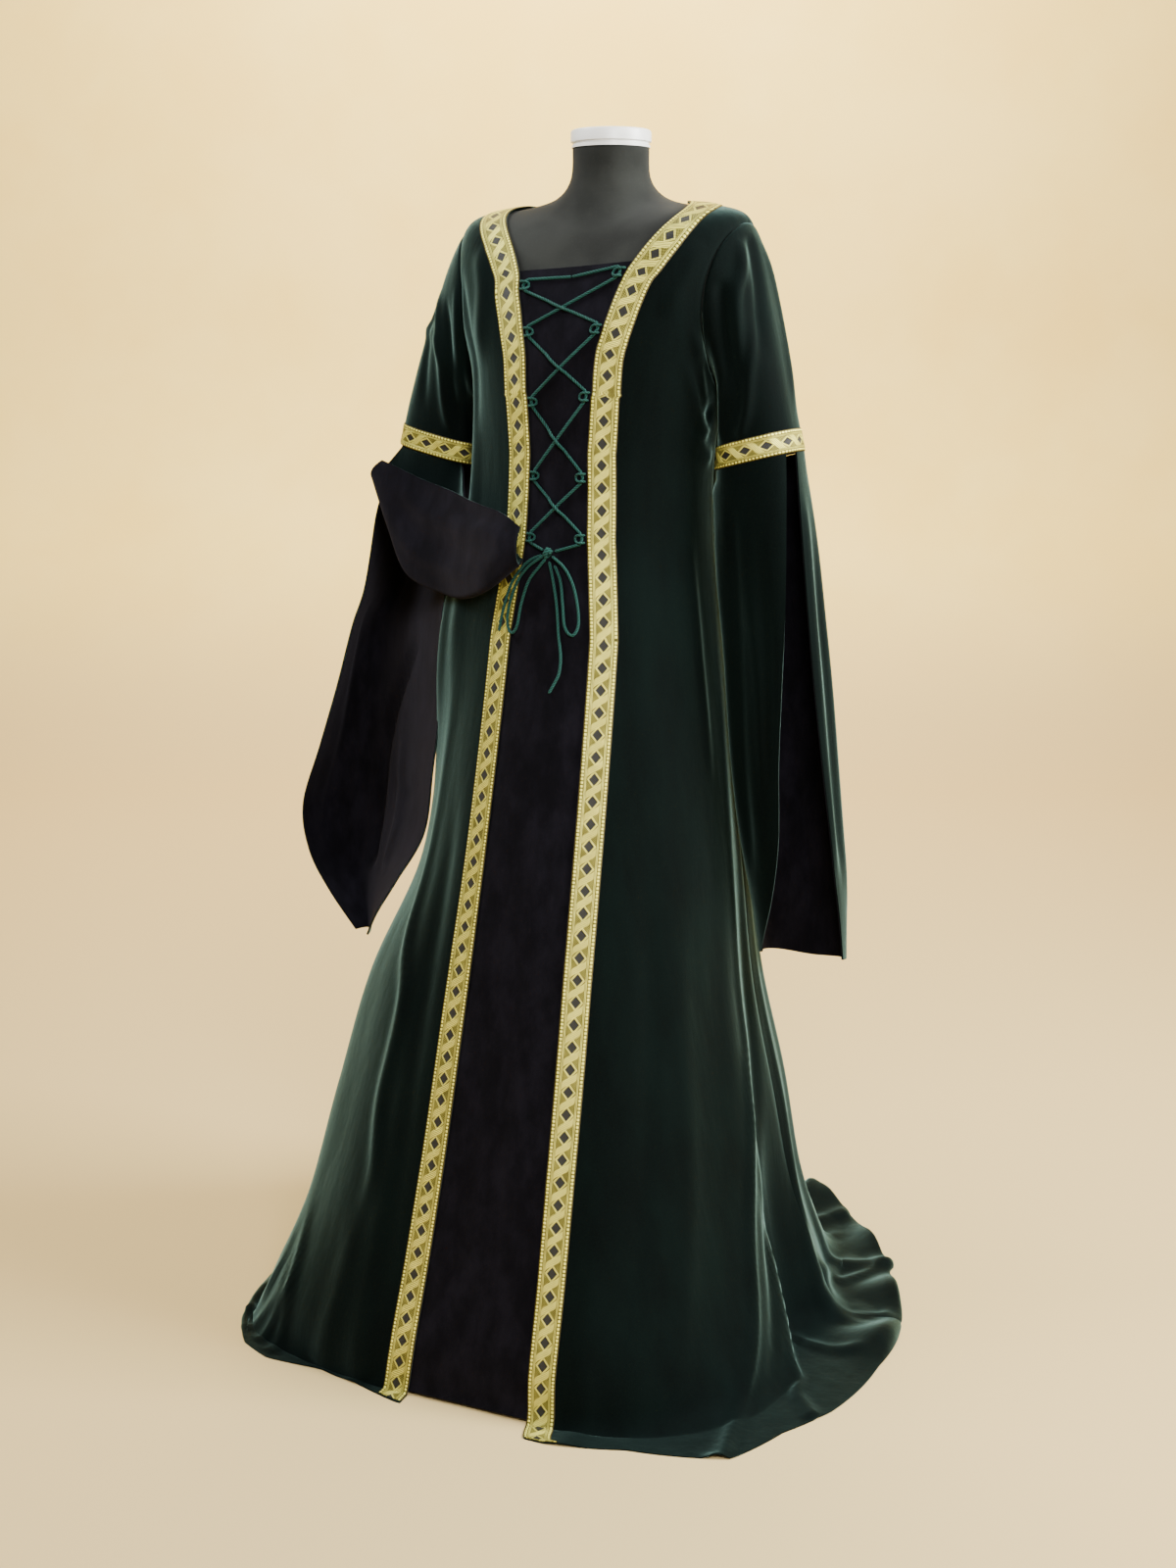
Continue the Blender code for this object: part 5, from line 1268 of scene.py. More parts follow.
def seam_dips(angle, ring, columns):
    """How far the cloth dips at the seams along the first or the last column of its rows."""
    points = gown_point(angle, ring)
    dips = np.zeros(angle.shape)
    for column in columns:
        apart = np.linalg.norm(points - points[:, column][:, None], axis=-1)
        dips -= SEAM_DEPTH * np.exp(-(apart / SEAM_HALF_WIDTH) ** 2)
    return dips


def add_panel(name, angle, ring, low, high, material, node, seams=()):
    """A panel of the body between two heights over the gown's inner face."""
    relief = body_relief(angle, ring) + seam_dips(angle, ring, seams)
    outer = gown_surface(angle, ring, relief + high)
    inner = gown_surface(angle, ring, relief + low)
    return make_wall(name, outer, inner, material, node)


def make_braid(name, outer, inner, uv, material, node):
    """A braid between its patterned face and its plain underside."""
    faces, kept_rows, kept_columns = coarse_faces(*outer.shape[:2], BRAID_UNDER_STEP)
    kept = np.ix_(kept_rows, kept_columns)
    points = np.concatenate([outer.reshape(-1, 3), inner[kept].reshape(-1, 3)])
    places = np.concatenate([uv.reshape(-1, 2), uv[kept].reshape(-1, 2)])
    return link_piece(name, closed_mesh(name, points, faces, places), material, node)


# Body

def add_body(velvet, black):
    """The fronts, backs and centre panel."""
    for side, word in SIDES:
        for part, grid, seams in (("front_", front_grid, (-1,)), ("back_", back_grid, (0, -1))):
            angle, ring = grid(side)
            node = part + word
            add_panel("velvet_" + node, angle, ring, 0, VELVET, velvet, node, seams)
    angle, ring = centre_grid()
    add_panel("cloth_centre", angle, ring, -SEAM - LINING, -SEAM, black, "centre_panel")


# Braid

def plateau(value, rise_start, rise_end, fall_start, fall_end):
    """Rises smoothly over one stretch of a value and falls over another."""
    return smooth(rise_start, rise_end, value) * (1 - smooth(fall_start, fall_end, value))


def braid_relief(across, along):
    """Height of the braid's pattern over its ground, from places in widths and repeats."""
    side = np.abs(across)
    from_diamond = np.abs((along + 0.5) % 1 - 0.5)
    diamond = side / DIAMOND_HALF_WIDTH + from_diamond / DIAMOND_HALF_LENGTH
    bend = np.arcsin(np.clip(across / CENTRE_HALF_WIDTH, -1, 1))
    bundle = np.abs((along + BUNDLE_REACH * bend) % 1 - 0.5)
    off_bundle = smooth(BUNDLE_HALF - BUNDLE_SOFT, BUNDLE_HALF + BUNDLE_SOFT, bundle)
    centre = 1 - smooth(CENTRE_HALF_WIDTH - CENTRE_SOFT, CENTRE_HALF_WIDTH + CENTRE_SOFT, side)
    bead = np.abs(np.cos(math.pi * along * BEADS))
    relief = BUNDLE_HEIGHT * centre * (1 - off_bundle)
    relief += OUTLINE_HEIGHT * centre * plateau(diamond, *OUTLINE_SHARES)
    relief -= DIAMOND_DEPTH * (1 - smooth(*DIAMOND_SHARES, diamond))
    relief += RIB_HEIGHT * plateau(side, *RIB_PLACES)
    relief += BEAD_HEIGHT * bead * plateau(side, *BEAD_PLACES)
    return relief


def braid_profile(across, along, width):
    """Height of a braid over the velvet: its pattern, with the two edges rounded off."""
    rim = smooth(0.5, 0.5 - BRAID_EDGE_SPREAD * BRAID_EDGE / width, np.abs(across))
    height = BRAID - BRAID_RISE + braid_relief(across, along)
    return SEAM + height * (BRAID_EDGE_HEIGHT + (1 - BRAID_EDGE_HEIGHT) * rim)


def run_together(rows, reach):
    """Each row as the mean of its neighbours, up to a number of rows away."""
    ends = np.pad(rows, ((reach, reach), (0, 0)), "edge")
    share = np.ones(2 * reach + 1) / (2 * reach + 1)
    return np.stack([np.convolve(column, share, "valid") for column in ends.T], -1)


def front_braid_grid(side):
    """Angles and rings of a front's braid, with each point's place in its pattern."""
    edge, outer = front_rows(side)
    lengths = line_lengths(gown_point(edge[:, 0], edge[:, 1]))
    along = np.arange(0, lengths[-1] - BRAID_HEM_CUT, BRAID_STEP)
    edge = np.stack([np.interp(along, lengths, column) for column in edge.T], -1)
    outer = np.stack([np.interp(along, lengths, column) for column in outer.T], -1)
    outer = run_together(outer, BRAID_TURN_ROWS)
    slant = edge_slant(edge, outer)
    ways = np.linspace(0, 1, BRAID_COLUMNS)

    def distances(row, length):
        return ways * BRAID_WIDTH * slant[row]

    angle, ring = row_columns(edge, outer, distances)
    points = gown_point(angle, ring)
    down = np.gradient(points[:, 0], axis=0)
    down /= np.linalg.norm(down, axis=-1, keepdims=True)
    drift = ((points - points[:, :1]) * down[:, None]).sum(-1)
    place_along = (along[:, None] + drift) / BRAID_REPEAT
    place_across = np.broadcast_to((ways - 0.5) * side, place_along.shape)
    return angle, ring, place_across, place_along


def neck_braid_grid():
    """The same for the braid round the back of the neck."""
    first_angle = math.pi / 2 + NECK_BRAID_END
    last_angle = 1.5 * math.pi - NECK_BRAID_END
    angles = np.linspace(first_angle, last_angle, NECK_BRAID_ROWS)
    ways = np.linspace(0, 1, BRAID_COLUMNS)
    turned_by = np.degrees(np.pi - np.abs(angles - np.pi)) - 90
    first = NECK_RING + (BACK_NECK_RING - NECK_RING) * smooth(0, 90, turned_by)
    reach = np.linspace(0, NECK_BRAID_RINGS, NECK_BRAID_SAMPLES)
    ring = np.empty((len(angles), len(ways)))
    for row, (angle, start) in enumerate(zip(angles, first)):
        lengths = line_lengths(gown_point(np.full(len(reach), angle), start + reach))
        ring[row] = start + np.interp(ways * BRAID_WIDTH, lengths, reach)
    angle = np.repeat(angles[:, None], len(ways), axis=1)
    along = line_lengths(gown_point(angle[:, 0], ring[:, 0])) / BRAID_REPEAT
    place_along = np.repeat(along[:, None], len(ways), axis=1)
    place_across = np.broadcast_to(ways - 0.5, place_along.shape)
    return angle, ring, place_across, place_along


def add_braid(name, grid, braid, node):
    """A braid that lies on the velvet of the body."""
    angle, ring, across, along = grid
    relief = body_relief(angle, ring)
    high = VELVET + braid_profile(across, along, BRAID_WIDTH)
    outer = gown_surface(angle, ring, relief + high)
    inner = gown_surface(angle, ring, relief + VELVET + SEAM / 2)
    uv = np.stack([across + 0.5, along], -1)
    return make_braid(name, outer, inner, uv, braid, node)


def add_braids(braid):
    """The braids of both fronts and of the back of the neck."""
    add_braid("braid_tape_left", front_braid_grid(1), braid, "braid_left")
    add_braid("braid_tape_right", front_braid_grid(-1), braid, "braid_right")
    add_braid("braid_tape_back_neck", neck_braid_grid(), braid, "braid_back_neck")


# Sleeves

def sleeve_place(side):
    """The surface of an upper sleeve, by turn and by way down."""
    def point_of(turn, down):
        return upper_sleeve_point(turn, down, side)

    return point_of


def upper_surface(turn, down, side, lift):
    """Point of an upper sleeve with its creases, at a distance over its outer face."""
    point_of = sleeve_place(side)
    points = point_of(turn, down)
    normal = outward(point_of, turn, down, SLEEVE_STEP) * -side
    relief = crease_relief(points, UPPER_CREASES[side], point_of)
    fade = plateau(down, 0, UPPER_CREASE_FADE[0], UPPER_CREASE_FADE[1], 1)
    seam = SEAM_DEPTH * np.exp(-(down / UPPER_SEAM_SHARE) ** 2)
    return points + normal * (lift + relief * fade - seam)[..., None]


def add_upper_sleeves(velvet, braid):
    """Both upper sleeves with their bands of braid."""
    turns = np.arange(UPPER_TURNS) / UPPER_TURNS
    for side, word in SIDES:
        turn, down = np.meshgrid(turns, np.linspace(0, 1, UPPER_ROWS))
        zero = np.zeros(turn.shape)
        outer = upper_surface(turn, down, side, zero)
        inner = upper_surface(turn, down, side, zero - VELVET)
        node = "upper_sleeve_" + word
        make_wall("velvet_" + node, outer, inner, velvet, node, ring=True)
        add_band(side, word, braid)


def add_band(side, word, braid):
    """The band of braid round the lower edge of an upper sleeve."""
    turns = np.linspace(0, 1, BAND_TURNS + 1)
    ways = np.linspace(BAND_FIRST_WAY, 1, BAND_SAMPLES)
    turn, down = np.meshgrid(turns, ways, indexing="ij")
    points = upper_sleeve_point(turn, down, side)
    steps = np.linalg.norm(np.diff(points, axis=1), axis=-1)
    to_end = np.cumsum(steps[:, ::-1], axis=1)[:, ::-1]
    to_end = np.concatenate([to_end, np.zeros((len(turns), 1))], 1)
    shares = np.linspace(0, 1, BAND_COLUMNS)
    down = np.array([np.interp((shares - 1) * BAND_HEIGHT, -row, ways) for row in to_end])
    lengths = line_lengths(points[:, -1])
    repeats = round(lengths[-1] / BAND_REPEAT)
    along = np.repeat((lengths / lengths[-1] * repeats)[:, None], BAND_COLUMNS, axis=1)
    across = np.broadcast_to(shares - 0.5, along.shape)
    turn = np.repeat(turns[:, None], BAND_COLUMNS, axis=1)
    high = braid_profile(across, along, BAND_HEIGHT)
    outer = upper_surface(turn, down, side, high)
    inner = upper_surface(turn, down, side, np.full(turn.shape, SEAM / 2))
    uv = np.stack([across + 0.5, along], -1)
    make_braid("braid_sleeve_band_" + word, outer, inner, uv, braid, "sleeve_band_" + word)


def add_lower_half(name, point_of, places, outward_side, creases, cloths, inside_out=False):
    """Half of a lower sleeve: velvet and its lining, a seam's gap apart."""
    normal = outward(point_of, *places, SLEEVE_STEP) * outward_side
    points = point_of(*places)
    points = points + normal * crease_relief(points, creases, point_of)[..., None]
    velvet, black = cloths
    layers = [("velvet_lower_sleeve_", "lower_sleeve_", VELVET, velvet),
              ("cloth_lower_lining_", "lower_sleeve_lining_", LINING, black)]
    if inside_out:
        layers.reverse()
    depth = 0
    for prefix, node, thick, material in layers:
        outer = points - normal * depth
        inner = points - normal * (depth + thick)
        make_wall(prefix + name, outer, inner, material, node + name)
        depth += thick + SEAM


def left_half_places(first_turn, last_turn):
    """Turns and rows of a half of the sleeve that hangs closed, between two edges."""
    ways = np.linspace(0, 1, LOWER_COLUMNS)
    rows = np.linspace(0, len(LEFT_HANG) - 1, LOWER_ROWS)
    first_turn = first_turn + np.zeros(LOWER_ROWS)
    turns = first_turn[:, None] + (last_turn - first_turn)[:, None] * ways
    return turns, np.repeat(rows[:, None], LOWER_COLUMNS, axis=1)


def add_lower_sleeves(velvet, black):
    """The halves of the lower sleeves with their linings."""
    cloths = (velvet, black)
    angles = blend_rows(LEFT_HANG, np.linspace(0, len(LEFT_HANG) - 1, LOWER_ROWS))
    back_edge = 1 + angles[:, 5] / 360
    front_edge = angles[:, 6] / 360
    front = left_half_places(front_edge, 0.5 - LEFT_HALF_GAP_TURN)
    back = left_half_places(0.5 + LEFT_HALF_GAP_TURN, back_edge)
    add_lower_half("left_front", left_hang_point, front, -1, LEFT_FRONT_CREASES, cloths)
    add_lower_half("left_back", left_hang_point, back, -1, LEFT_BACK_CREASES, cloths)
    hanging = np.meshgrid(
        np.linspace(0.5, 1 + SLIT_BACK_TURN, LOWER_COLUMNS),
        np.linspace(0, len(RIGHT_HANG), LOWER_ROWS),
    )
    add_lower_half("right_back", right_hang_point, hanging, 1, RIGHT_BACK_CREASES, cloths)
    turned_up = np.meshgrid(
        np.linspace(0, len(RIGHT_FLAP) - 1, LOWER_COLUMNS),
        np.linspace(0, FLAP_STOPS, FLAP_ROWS),
    )
    add_lower_half(
        "right_front", flap_point, turned_up, 1, FLAP_CREASES, cloths, inside_out=True,
    )


# Cords

def even_path(points, step, soften):
    """A path through points with even steps, with its corners softened."""
    points = np.asarray(points, float)
    fine = resample(points, ROPE_STEP / 2)
    reach = int(soften / (ROPE_STEP / 2))
    if reach:
        weights = np.hanning(2 * reach + 3)[1:-1]
        weights /= weights.sum()
        before = 2 * fine[0] - fine[reach:0:-1]
        after = 2 * fine[-1] - fine[-2:-reach - 2:-1]
        padded = np.concatenate([before, fine, after])
        fine = np.stack([np.convolve(column, weights, "valid") for column in padded.T], -1)
    return resample(fine, step)


def resample(points, step):
    """Points at even distances along a line."""
    lengths = line_lengths(points)
    count = max(3, int(round(lengths[-1] / step)) + 1)
    at = np.linspace(0, lengths[-1], count)
    return np.stack([np.interp(at, lengths, column) for column in points.T], -1)


def rope_frames(path):
    """Two directions square to each point of a path, without twist from one to the next."""
    along = np.gradient(path, axis=0)
    along /= np.linalg.norm(along, axis=-1, keepdims=True)
    side = np.cross(along[0], ROPE_SIDE)
    sides = []
    for direction in along:
        side = side - direction * (side @ direction)
        side = side / np.linalg.norm(side)
        sides.append(side)
    sides = np.array(sides)
    return sides, np.cross(along, sides)


def add_rope(name, points, diameter, material, node, soften=ROPE_SOFTEN):
    """A cord of twisted strands along a path, and the path that it follows."""
    path = even_path(points, ROPE_STEP, soften)
    sides, ups = rope_frames(path)
    turns = np.arange(ROPE_SIDES) / ROPE_SIDES
    lobe = np.abs(np.cos(math.pi * ROPE_STRANDS * turns))
    radius = diameter / 2 * (1 - ROPE_GROOVE * (1 - lobe) ** ROPE_GROOVE_POWER)
    along = np.arange(len(path)) * ROPE_STEP
    swing = 2 * math.pi * (turns[None] + along[:, None] / (ROPE_PITCH * diameter))
    from_end = np.minimum(along, along[::-1]) / (diameter / 2)
    reach = radius[None] * np.sqrt(np.clip(from_end, ROPE_END_LEAST, 1))[:, None]
    grid = (
        path[:, None]
        + (reach * np.cos(swing))[..., None] * sides[:, None]
        + (reach * np.sin(swing))[..., None] * ups[:, None]
    )
    index = closed_rows(len(path), ROPE_SIDES)
    faces = grid_quads(index, inward=True).tolist()
    faces += [index[0, -2::-1].tolist(), index[-1, :-1].tolist()]
    mesh = bpy.data.meshes.new(name)
    mesh.from_pydata(grid.reshape(-1, 3).tolist(), [], faces)
    places = np.stack(np.broadcast_arrays(turns, along[:, None] / diameter), -1)
    set_uv(mesh, places.reshape(-1, 2))
    mesh.shade_smooth()
    return link_piece(name, mesh, material, node), path


def stops_path(stops):
    """Path over the cloth through places given by x, height and distance over it."""
    ways = np.linspace(0, len(stops) - 1, STOP_STEPS * len(stops))
    return stops_over_cloth(blend_rows(stops, ways))


def add_cords(cord):
    """The lace with its loops, knot, bow and two ends."""
    edges = {side: edge_line(side) for side in (1, -1)}
    knot = add_knot(cord)
    for side, word in SIDES:
        for number, height in enumerate(LACE_HEIGHTS[side], 1):
            node = f"lace_loop_{word}_{number}"
            route = loop_path(side, height, edges)
            add_rope("rope_" + node, route, LOOP_CORD, cord, node, LOOP_SOFTEN)[0]
        route = lace_path(side, edges)
        lace, path = add_rope("rope_lace_" + word, route, CORD, cord, "lace_" + word)
        bow, end = (BOW_LEFT, END_LEFT) if side > 0 else (BOW_RIGHT, END_RIGHT)
        piece, path = add_rope("rope_bow_" + word, stops_path(bow), CORD, cord, "bow_" + word)
        node = "lace_end_" + word
        piece, path = add_rope("rope_" + node, stops_path(end), CORD, cord, node)


def add_knot(cord):
    """The knot of the bow: the cord wound round itself."""
    middle = over_cloth(KNOT[0], KNOT[1], np.array(KNOT_RADIUS))
    turn = np.linspace(0, 2 * math.pi * KNOT_TURNS, KNOT_POINTS)
    way = turn / turn[-1] - 0.5
    width_share, depth_share = KNOT_SHAPE
    points = middle + np.stack([
        KNOT_WIND * np.cos(turn) * width_share + way * KNOT_WIND,
        -KNOT_WIND * np.sin(turn) * depth_share,
        KNOT_WIND * np.cos(turn) - way * KNOT_WIND,
    ], -1)
    return add_rope("rope_bow_knot", points, CORD, cord, "bow_knot", KNOT_SOFTEN)[0]


# Dress form and stand

def form_point(angle, ring):
    """Point on the dress form."""
    return ring_point(FORM_RINGS, angle, ring, folds=False)


def add_form(dark, white, steel):
    """The limbless torso with its cap, on a pole and a round base."""
    angles = np.linspace(-math.pi, math.pi, FORM_SIDES, endpoint=False)
    angle, ring = np.meshgrid(angles, np.linspace(0, len(FORM_RINGS) - 1, FORM_ROWS))
    normal = outward(form_point, angle, ring, BODY_STEP)
    inset = FORM_INSET + FORM_UNDER_INSET * smooth(*FORM_UNDER_RINGS, ring)
    points = form_point(angle, ring) - normal * inset[..., None]
    points[-1, :, 2] = FORM_BOTTOM
    points[0, :, 2] = FORM_RINGS[0][0]
    index = closed_rows(FORM_ROWS, FORM_SIDES)
    faces = grid_quads(index).tolist()
    faces += [index[0, :-1].tolist(), index[-1, -2::-1].tolist()]
    mesh = closed_mesh("form_cover", points.reshape(-1, 3), faces)
    link_piece("form_cover", mesh, dark, "form_torso")
    add_turned("form_neck_plate", CAP_PROFILE, FORM_RINGS[0][3], white, "form_cap")
    add_turned("stand_foot", BASE_PROFILE, 0, steel, "stand_base")
    low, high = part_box("stand_pole")
    height = high[2] - low[2]
    pole = ((0, 0), (POLE_RADIUS, 0), (POLE_RADIUS, height), (0, height))
    add_turned("stand_tube", pole, 0, steel, "stand_pole")


def add_turned(name, profile, centre_y, material, node):
    """A round piece turned from a profile of reach and height, on its CAD node's place."""
    turns = np.linspace(0, 2 * math.pi, TURNED_SIDES, endpoint=False)
    inside = profile[1:-1]
    points = [(0, 0, profile[0][1]), (0, 0, profile[-1][1])]
    for reach, height in inside:
        points += [(reach * math.cos(turn), reach * math.sin(turn), height) for turn in turns]
    last = 2 + (len(inside) - 1) * TURNED_SIDES
    faces = []
    for side in range(TURNED_SIDES):
        after = (side + 1) % TURNED_SIDES
        faces.append((0, 2 + after, 2 + side))
        faces.append((1, last + side, last + after))
        for row in range(len(inside) - 1):
            base = 2 + row * TURNED_SIDES
            above = base + TURNED_SIDES
            faces.append((base + side, base + after, above + after, above + side))
    place = (0, centre_y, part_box(node)[0][2])
    mesh = bpy.data.meshes.new(name)
    mesh.from_pydata((np.array(points) + place).tolist(), [], faces)
    mesh.shade_smooth()
    mesh.set_sharp_from_angle(angle=math.radians(TURNED_SHARP_ANGLE))
    return link_piece(name, mesh, material, node)


# Materials

def new_node(tree, kind, inputs=None, **settings):
    """Adds a shader node, with each input a value or a socket that is linked to it."""
    node = tree.nodes.new(kind)
    for name, value in settings.items():
        setattr(node, name, value)
    for name, value in (inputs or {}).items():
        if isinstance(value, bpy.types.NodeSocket):
            tree.links.new(value, node.inputs[name])
        else:
            node.inputs[name].default_value = value
    return node


def calc(tree, operation, *terms):
    """Adds a maths node and gives its result."""
    return new_node(
        tree, "ShaderNodeMath", dict(enumerate(terms)), operation=operation
    ).outputs[0]


def step_between(tree, value, low, high):
    """Runs from 0 at the low value to 1 at the high one."""
    return new_node(
        tree, "ShaderNodeMapRange", {"Value": value, "From Min": low, "From Max": high},
        interpolation_type="SMOOTHSTEP",
    ).outputs["Result"]


def noise(tree, vector, scale, detail=2.0, roughness=0.5):
    """Adds a noise texture and gives its value."""
    return new_node(
        tree, "ShaderNodeTexNoise",
        {"Vector": vector, "Scale": scale, "Detail": detail, "Roughness": roughness},
    ).outputs["Fac"]


def product(tree, first, *others):
    """Multiplies values one after another."""
    for other in others:
        first = calc(tree, "MULTIPLY", first, other)
    return first


def weighed(tree, value, swing, mean):
    """A value times its swing, with a mean or another value added."""
    return calc(tree, "MULTIPLY_ADD", value, swing, mean)


def wave(tree, operation, value, cycles):
    """A sine or cosine of a value, with a number of cycles in each unit."""
    return calc(tree, operation, product(tree, value, 2 * math.pi * cycles))


def from_half(tree, value):
    """Distance of a value's fraction from a half."""
    fraction = calc(tree, "FRACT", value)
    return calc(tree, "ABSOLUTE", calc(tree, "SUBTRACT", fraction, 0.5))


def mix_value(tree, share, first, second):
    """Mixes two values."""
    return new_node(tree, "ShaderNodeMix", {0: share, 2: first, 3: second}).outputs[0]


def mix_colour(tree, share, first, second):
    """Mixes two colours."""
    return new_node(
        tree, "ShaderNodeMix", {0: share, 6: first, 7: second}, data_type="RGBA",
    ).outputs[2]


def bump(tree, height, distance, strength=1.0, normal=None):
    """Bump from a height in units of the distance."""
    inputs = {"Height": height, "Distance": distance, "Strength": strength}
    if normal is not None:
        inputs["Normal"] = normal
    return new_node(tree, "ShaderNodeBump", inputs).outputs["Normal"]


def start_material(name, **values):
    """A material with plain values on its shader: the material, its node tree and shader."""
    material = bpy.data.materials.new(name)
    material.use_nodes = True
    tree = material.node_tree
    shader = tree.nodes["Principled BSDF"]
    for key, value in values.items():
        shader.inputs[key.replace("_", " ")].default_value = value
    return material, tree, shader


def object_place(tree, scale=(1, 1, 1)):
    """Coordinates of the piece, stretched by a scale."""
    place = new_node(tree, "ShaderNodeTexCoord").outputs["Object"]
    return new_node(tree, "ShaderNodeMapping", {"Vector": place, "Scale": scale}).outputs[0]


def connect(tree, value, socket):
    """Links a result to a socket of the shader."""
    tree.links.new(value, socket)


def velvet_material():
    """Deep green velvet: a dark pile with a green sheen, brushed unevenly."""
    material, tree, shader = start_material(
        "velvet", Roughness=0.8, Sheen_Weight=0.42, Sheen_Roughness=0.34,
        Sheen_Tint=VELVET_SHEEN, Specular_IOR_Level=0.03,
    )
    place = object_place(tree)
    drawn_down = object_place(tree, VELVET_STRETCH)
    brushed = noise(tree, drawn_down, scale=26.0, detail=3.0)
    patches = noise(tree, place, scale=6.0, detail=3.0)
    pile = noise(tree, place, scale=900.0)
    share = weighed(tree, brushed, VELVET_BRUSHED, product(tree, patches, VELVET_PATCHES))
    share = step_between(tree, share, low=0.38, high=0.85)
    colour = mix_colour(tree, share, VELVET_DARK, VELVET_LIGHT)
    speck = product(tree, step_between(tree, pile, low=0.3, high=0.75), VELVET_SPECKS)
    colour = mix_colour(tree, speck, colour, VELVET_PILE)
    connect(tree, colour, shader.inputs["Base Color"])
    normal = bump(tree, pile, distance=0.0006, strength=0.5)
    normal = bump(tree, brushed, distance=0.004, strength=0.35, normal=normal)
    connect(tree, normal, shader.inputs["Normal"])
    return material


def black_material():
    """Matt black cotton with a trace of purple, in a fine plain weave."""
    material, tree, shader = start_material(
        "black_cloth", Roughness=0.9, Sheen_Weight=0.04, Sheen_Roughness=0.5,
        Sheen_Tint=BLACK_SHEEN, Specular_IOR_Level=0.04,
    )
    drawn_down = object_place(tree, BLACK_STRETCH)
    mottled = noise(tree, drawn_down, scale=38.0, detail=4.0, roughness=0.62)
    fibre = noise(tree, object_place(tree), scale=1400.0)
    share = step_between(tree, weighed(tree, fibre, BLACK_FIBRE, mottled), low=0.5, high=1.0)
    colour = mix_colour(tree, share, BLACK_DARK, BLACK_LIGHT)
    connect(tree, colour, shader.inputs["Base Color"])
    normal = bump(tree, fibre, distance=0.0004, strength=0.6)
    normal = bump(tree, mottled, distance=0.0015, strength=0.4, normal=normal)
    connect(tree, normal, shader.inputs["Normal"])
    return material


def braid_diamond(tree, along, side):
    """Distance from the middle of the nearest diamond, with 1 on its outline."""
    from_middle = from_half(tree, calc(tree, "ADD", along, WHOLE_REPEATS + 0.5))
    return calc(
        tree, "ADD", calc(tree, "DIVIDE", side, DIAMOND_HALF_WIDTH),
        calc(tree, "DIVIDE", from_middle, DIAMOND_HALF_LENGTH),
    )


def braid_wound(tree, across, along):
    """Place along the bundles of strands, which bend into an S across the middle."""
    share = calc(tree, "DIVIDE", across, CENTRE_HALF_WIDTH)
    share = calc(tree, "MAXIMUM", calc(tree, "MINIMUM", share, 1.0), -1.0)
    bend = calc(tree, "ARCSINE", share)
    return weighed(tree, bend, BUNDLE_REACH, calc(tree, "ADD", along, WHOLE_REPEATS))


def braid_painted_shade(tree, across, along, side, diamond):
    """Painted shade and highlight of each thread, lighter where the weave stands higher: strands,
    ground, ribs and beaded edges.
    """
    wound = braid_wound(tree, across, along)
    strand = weighed(tree, wave(tree, "COSINE", wound, 1 / STRAND_REPEAT), *STRAND_PAINTED_SHADE)
    in_centre = calc(tree, "LESS_THAN", side, CENTRE_HALF_WIDTH)
    near_bundle = calc(tree, "LESS_THAN", from_half(tree, wound), BUNDLE_HALF)
    weave_along = wave(tree, "SINE", along, WEAVE_CYCLES[0])
    weave_across = wave(tree, "SINE", across, WEAVE_CYCLES[1])
    ground = weighed(tree, product(tree, weave_along, weave_across), *WEAVE_PAINTED_SHADE)
    outline = product(
        tree, step_between(tree, diamond, low=1.02, high=1.12),
        step_between(tree, diamond, low=1.55, high=1.40),
    )
    ground = weighed(tree, outline, OUTLINE_PAINTED_HIGHLIGHT, ground)
    centre = mix_value(tree, product(tree, in_centre, near_bundle), ground, strand)
    rib = weighed(tree, wave(tree, "COSINE", side, RIB_CYCLES), *RIB_PAINTED_SHADE)
    bead = product(
        tree, calc(tree, "ABSOLUTE", wave(tree, "COSINE", along, BEADS / 2)),
        step_between(tree, side, low=BORDER_PLACE, high=0.385),
        step_between(tree, side, low=0.47, high=0.44),
    )
    past_centre = calc(tree, "GREATER_THAN", side, CENTRE_HALF_WIDTH)
    in_rib = product(tree, past_centre, calc(tree, "LESS_THAN", side, BORDER_PLACE))
    in_border = calc(tree, "GREATER_THAN", side, BORDER_PLACE)
    return mix_value(tree, in_border, mix_value(tree, in_rib, centre, rib), bead)


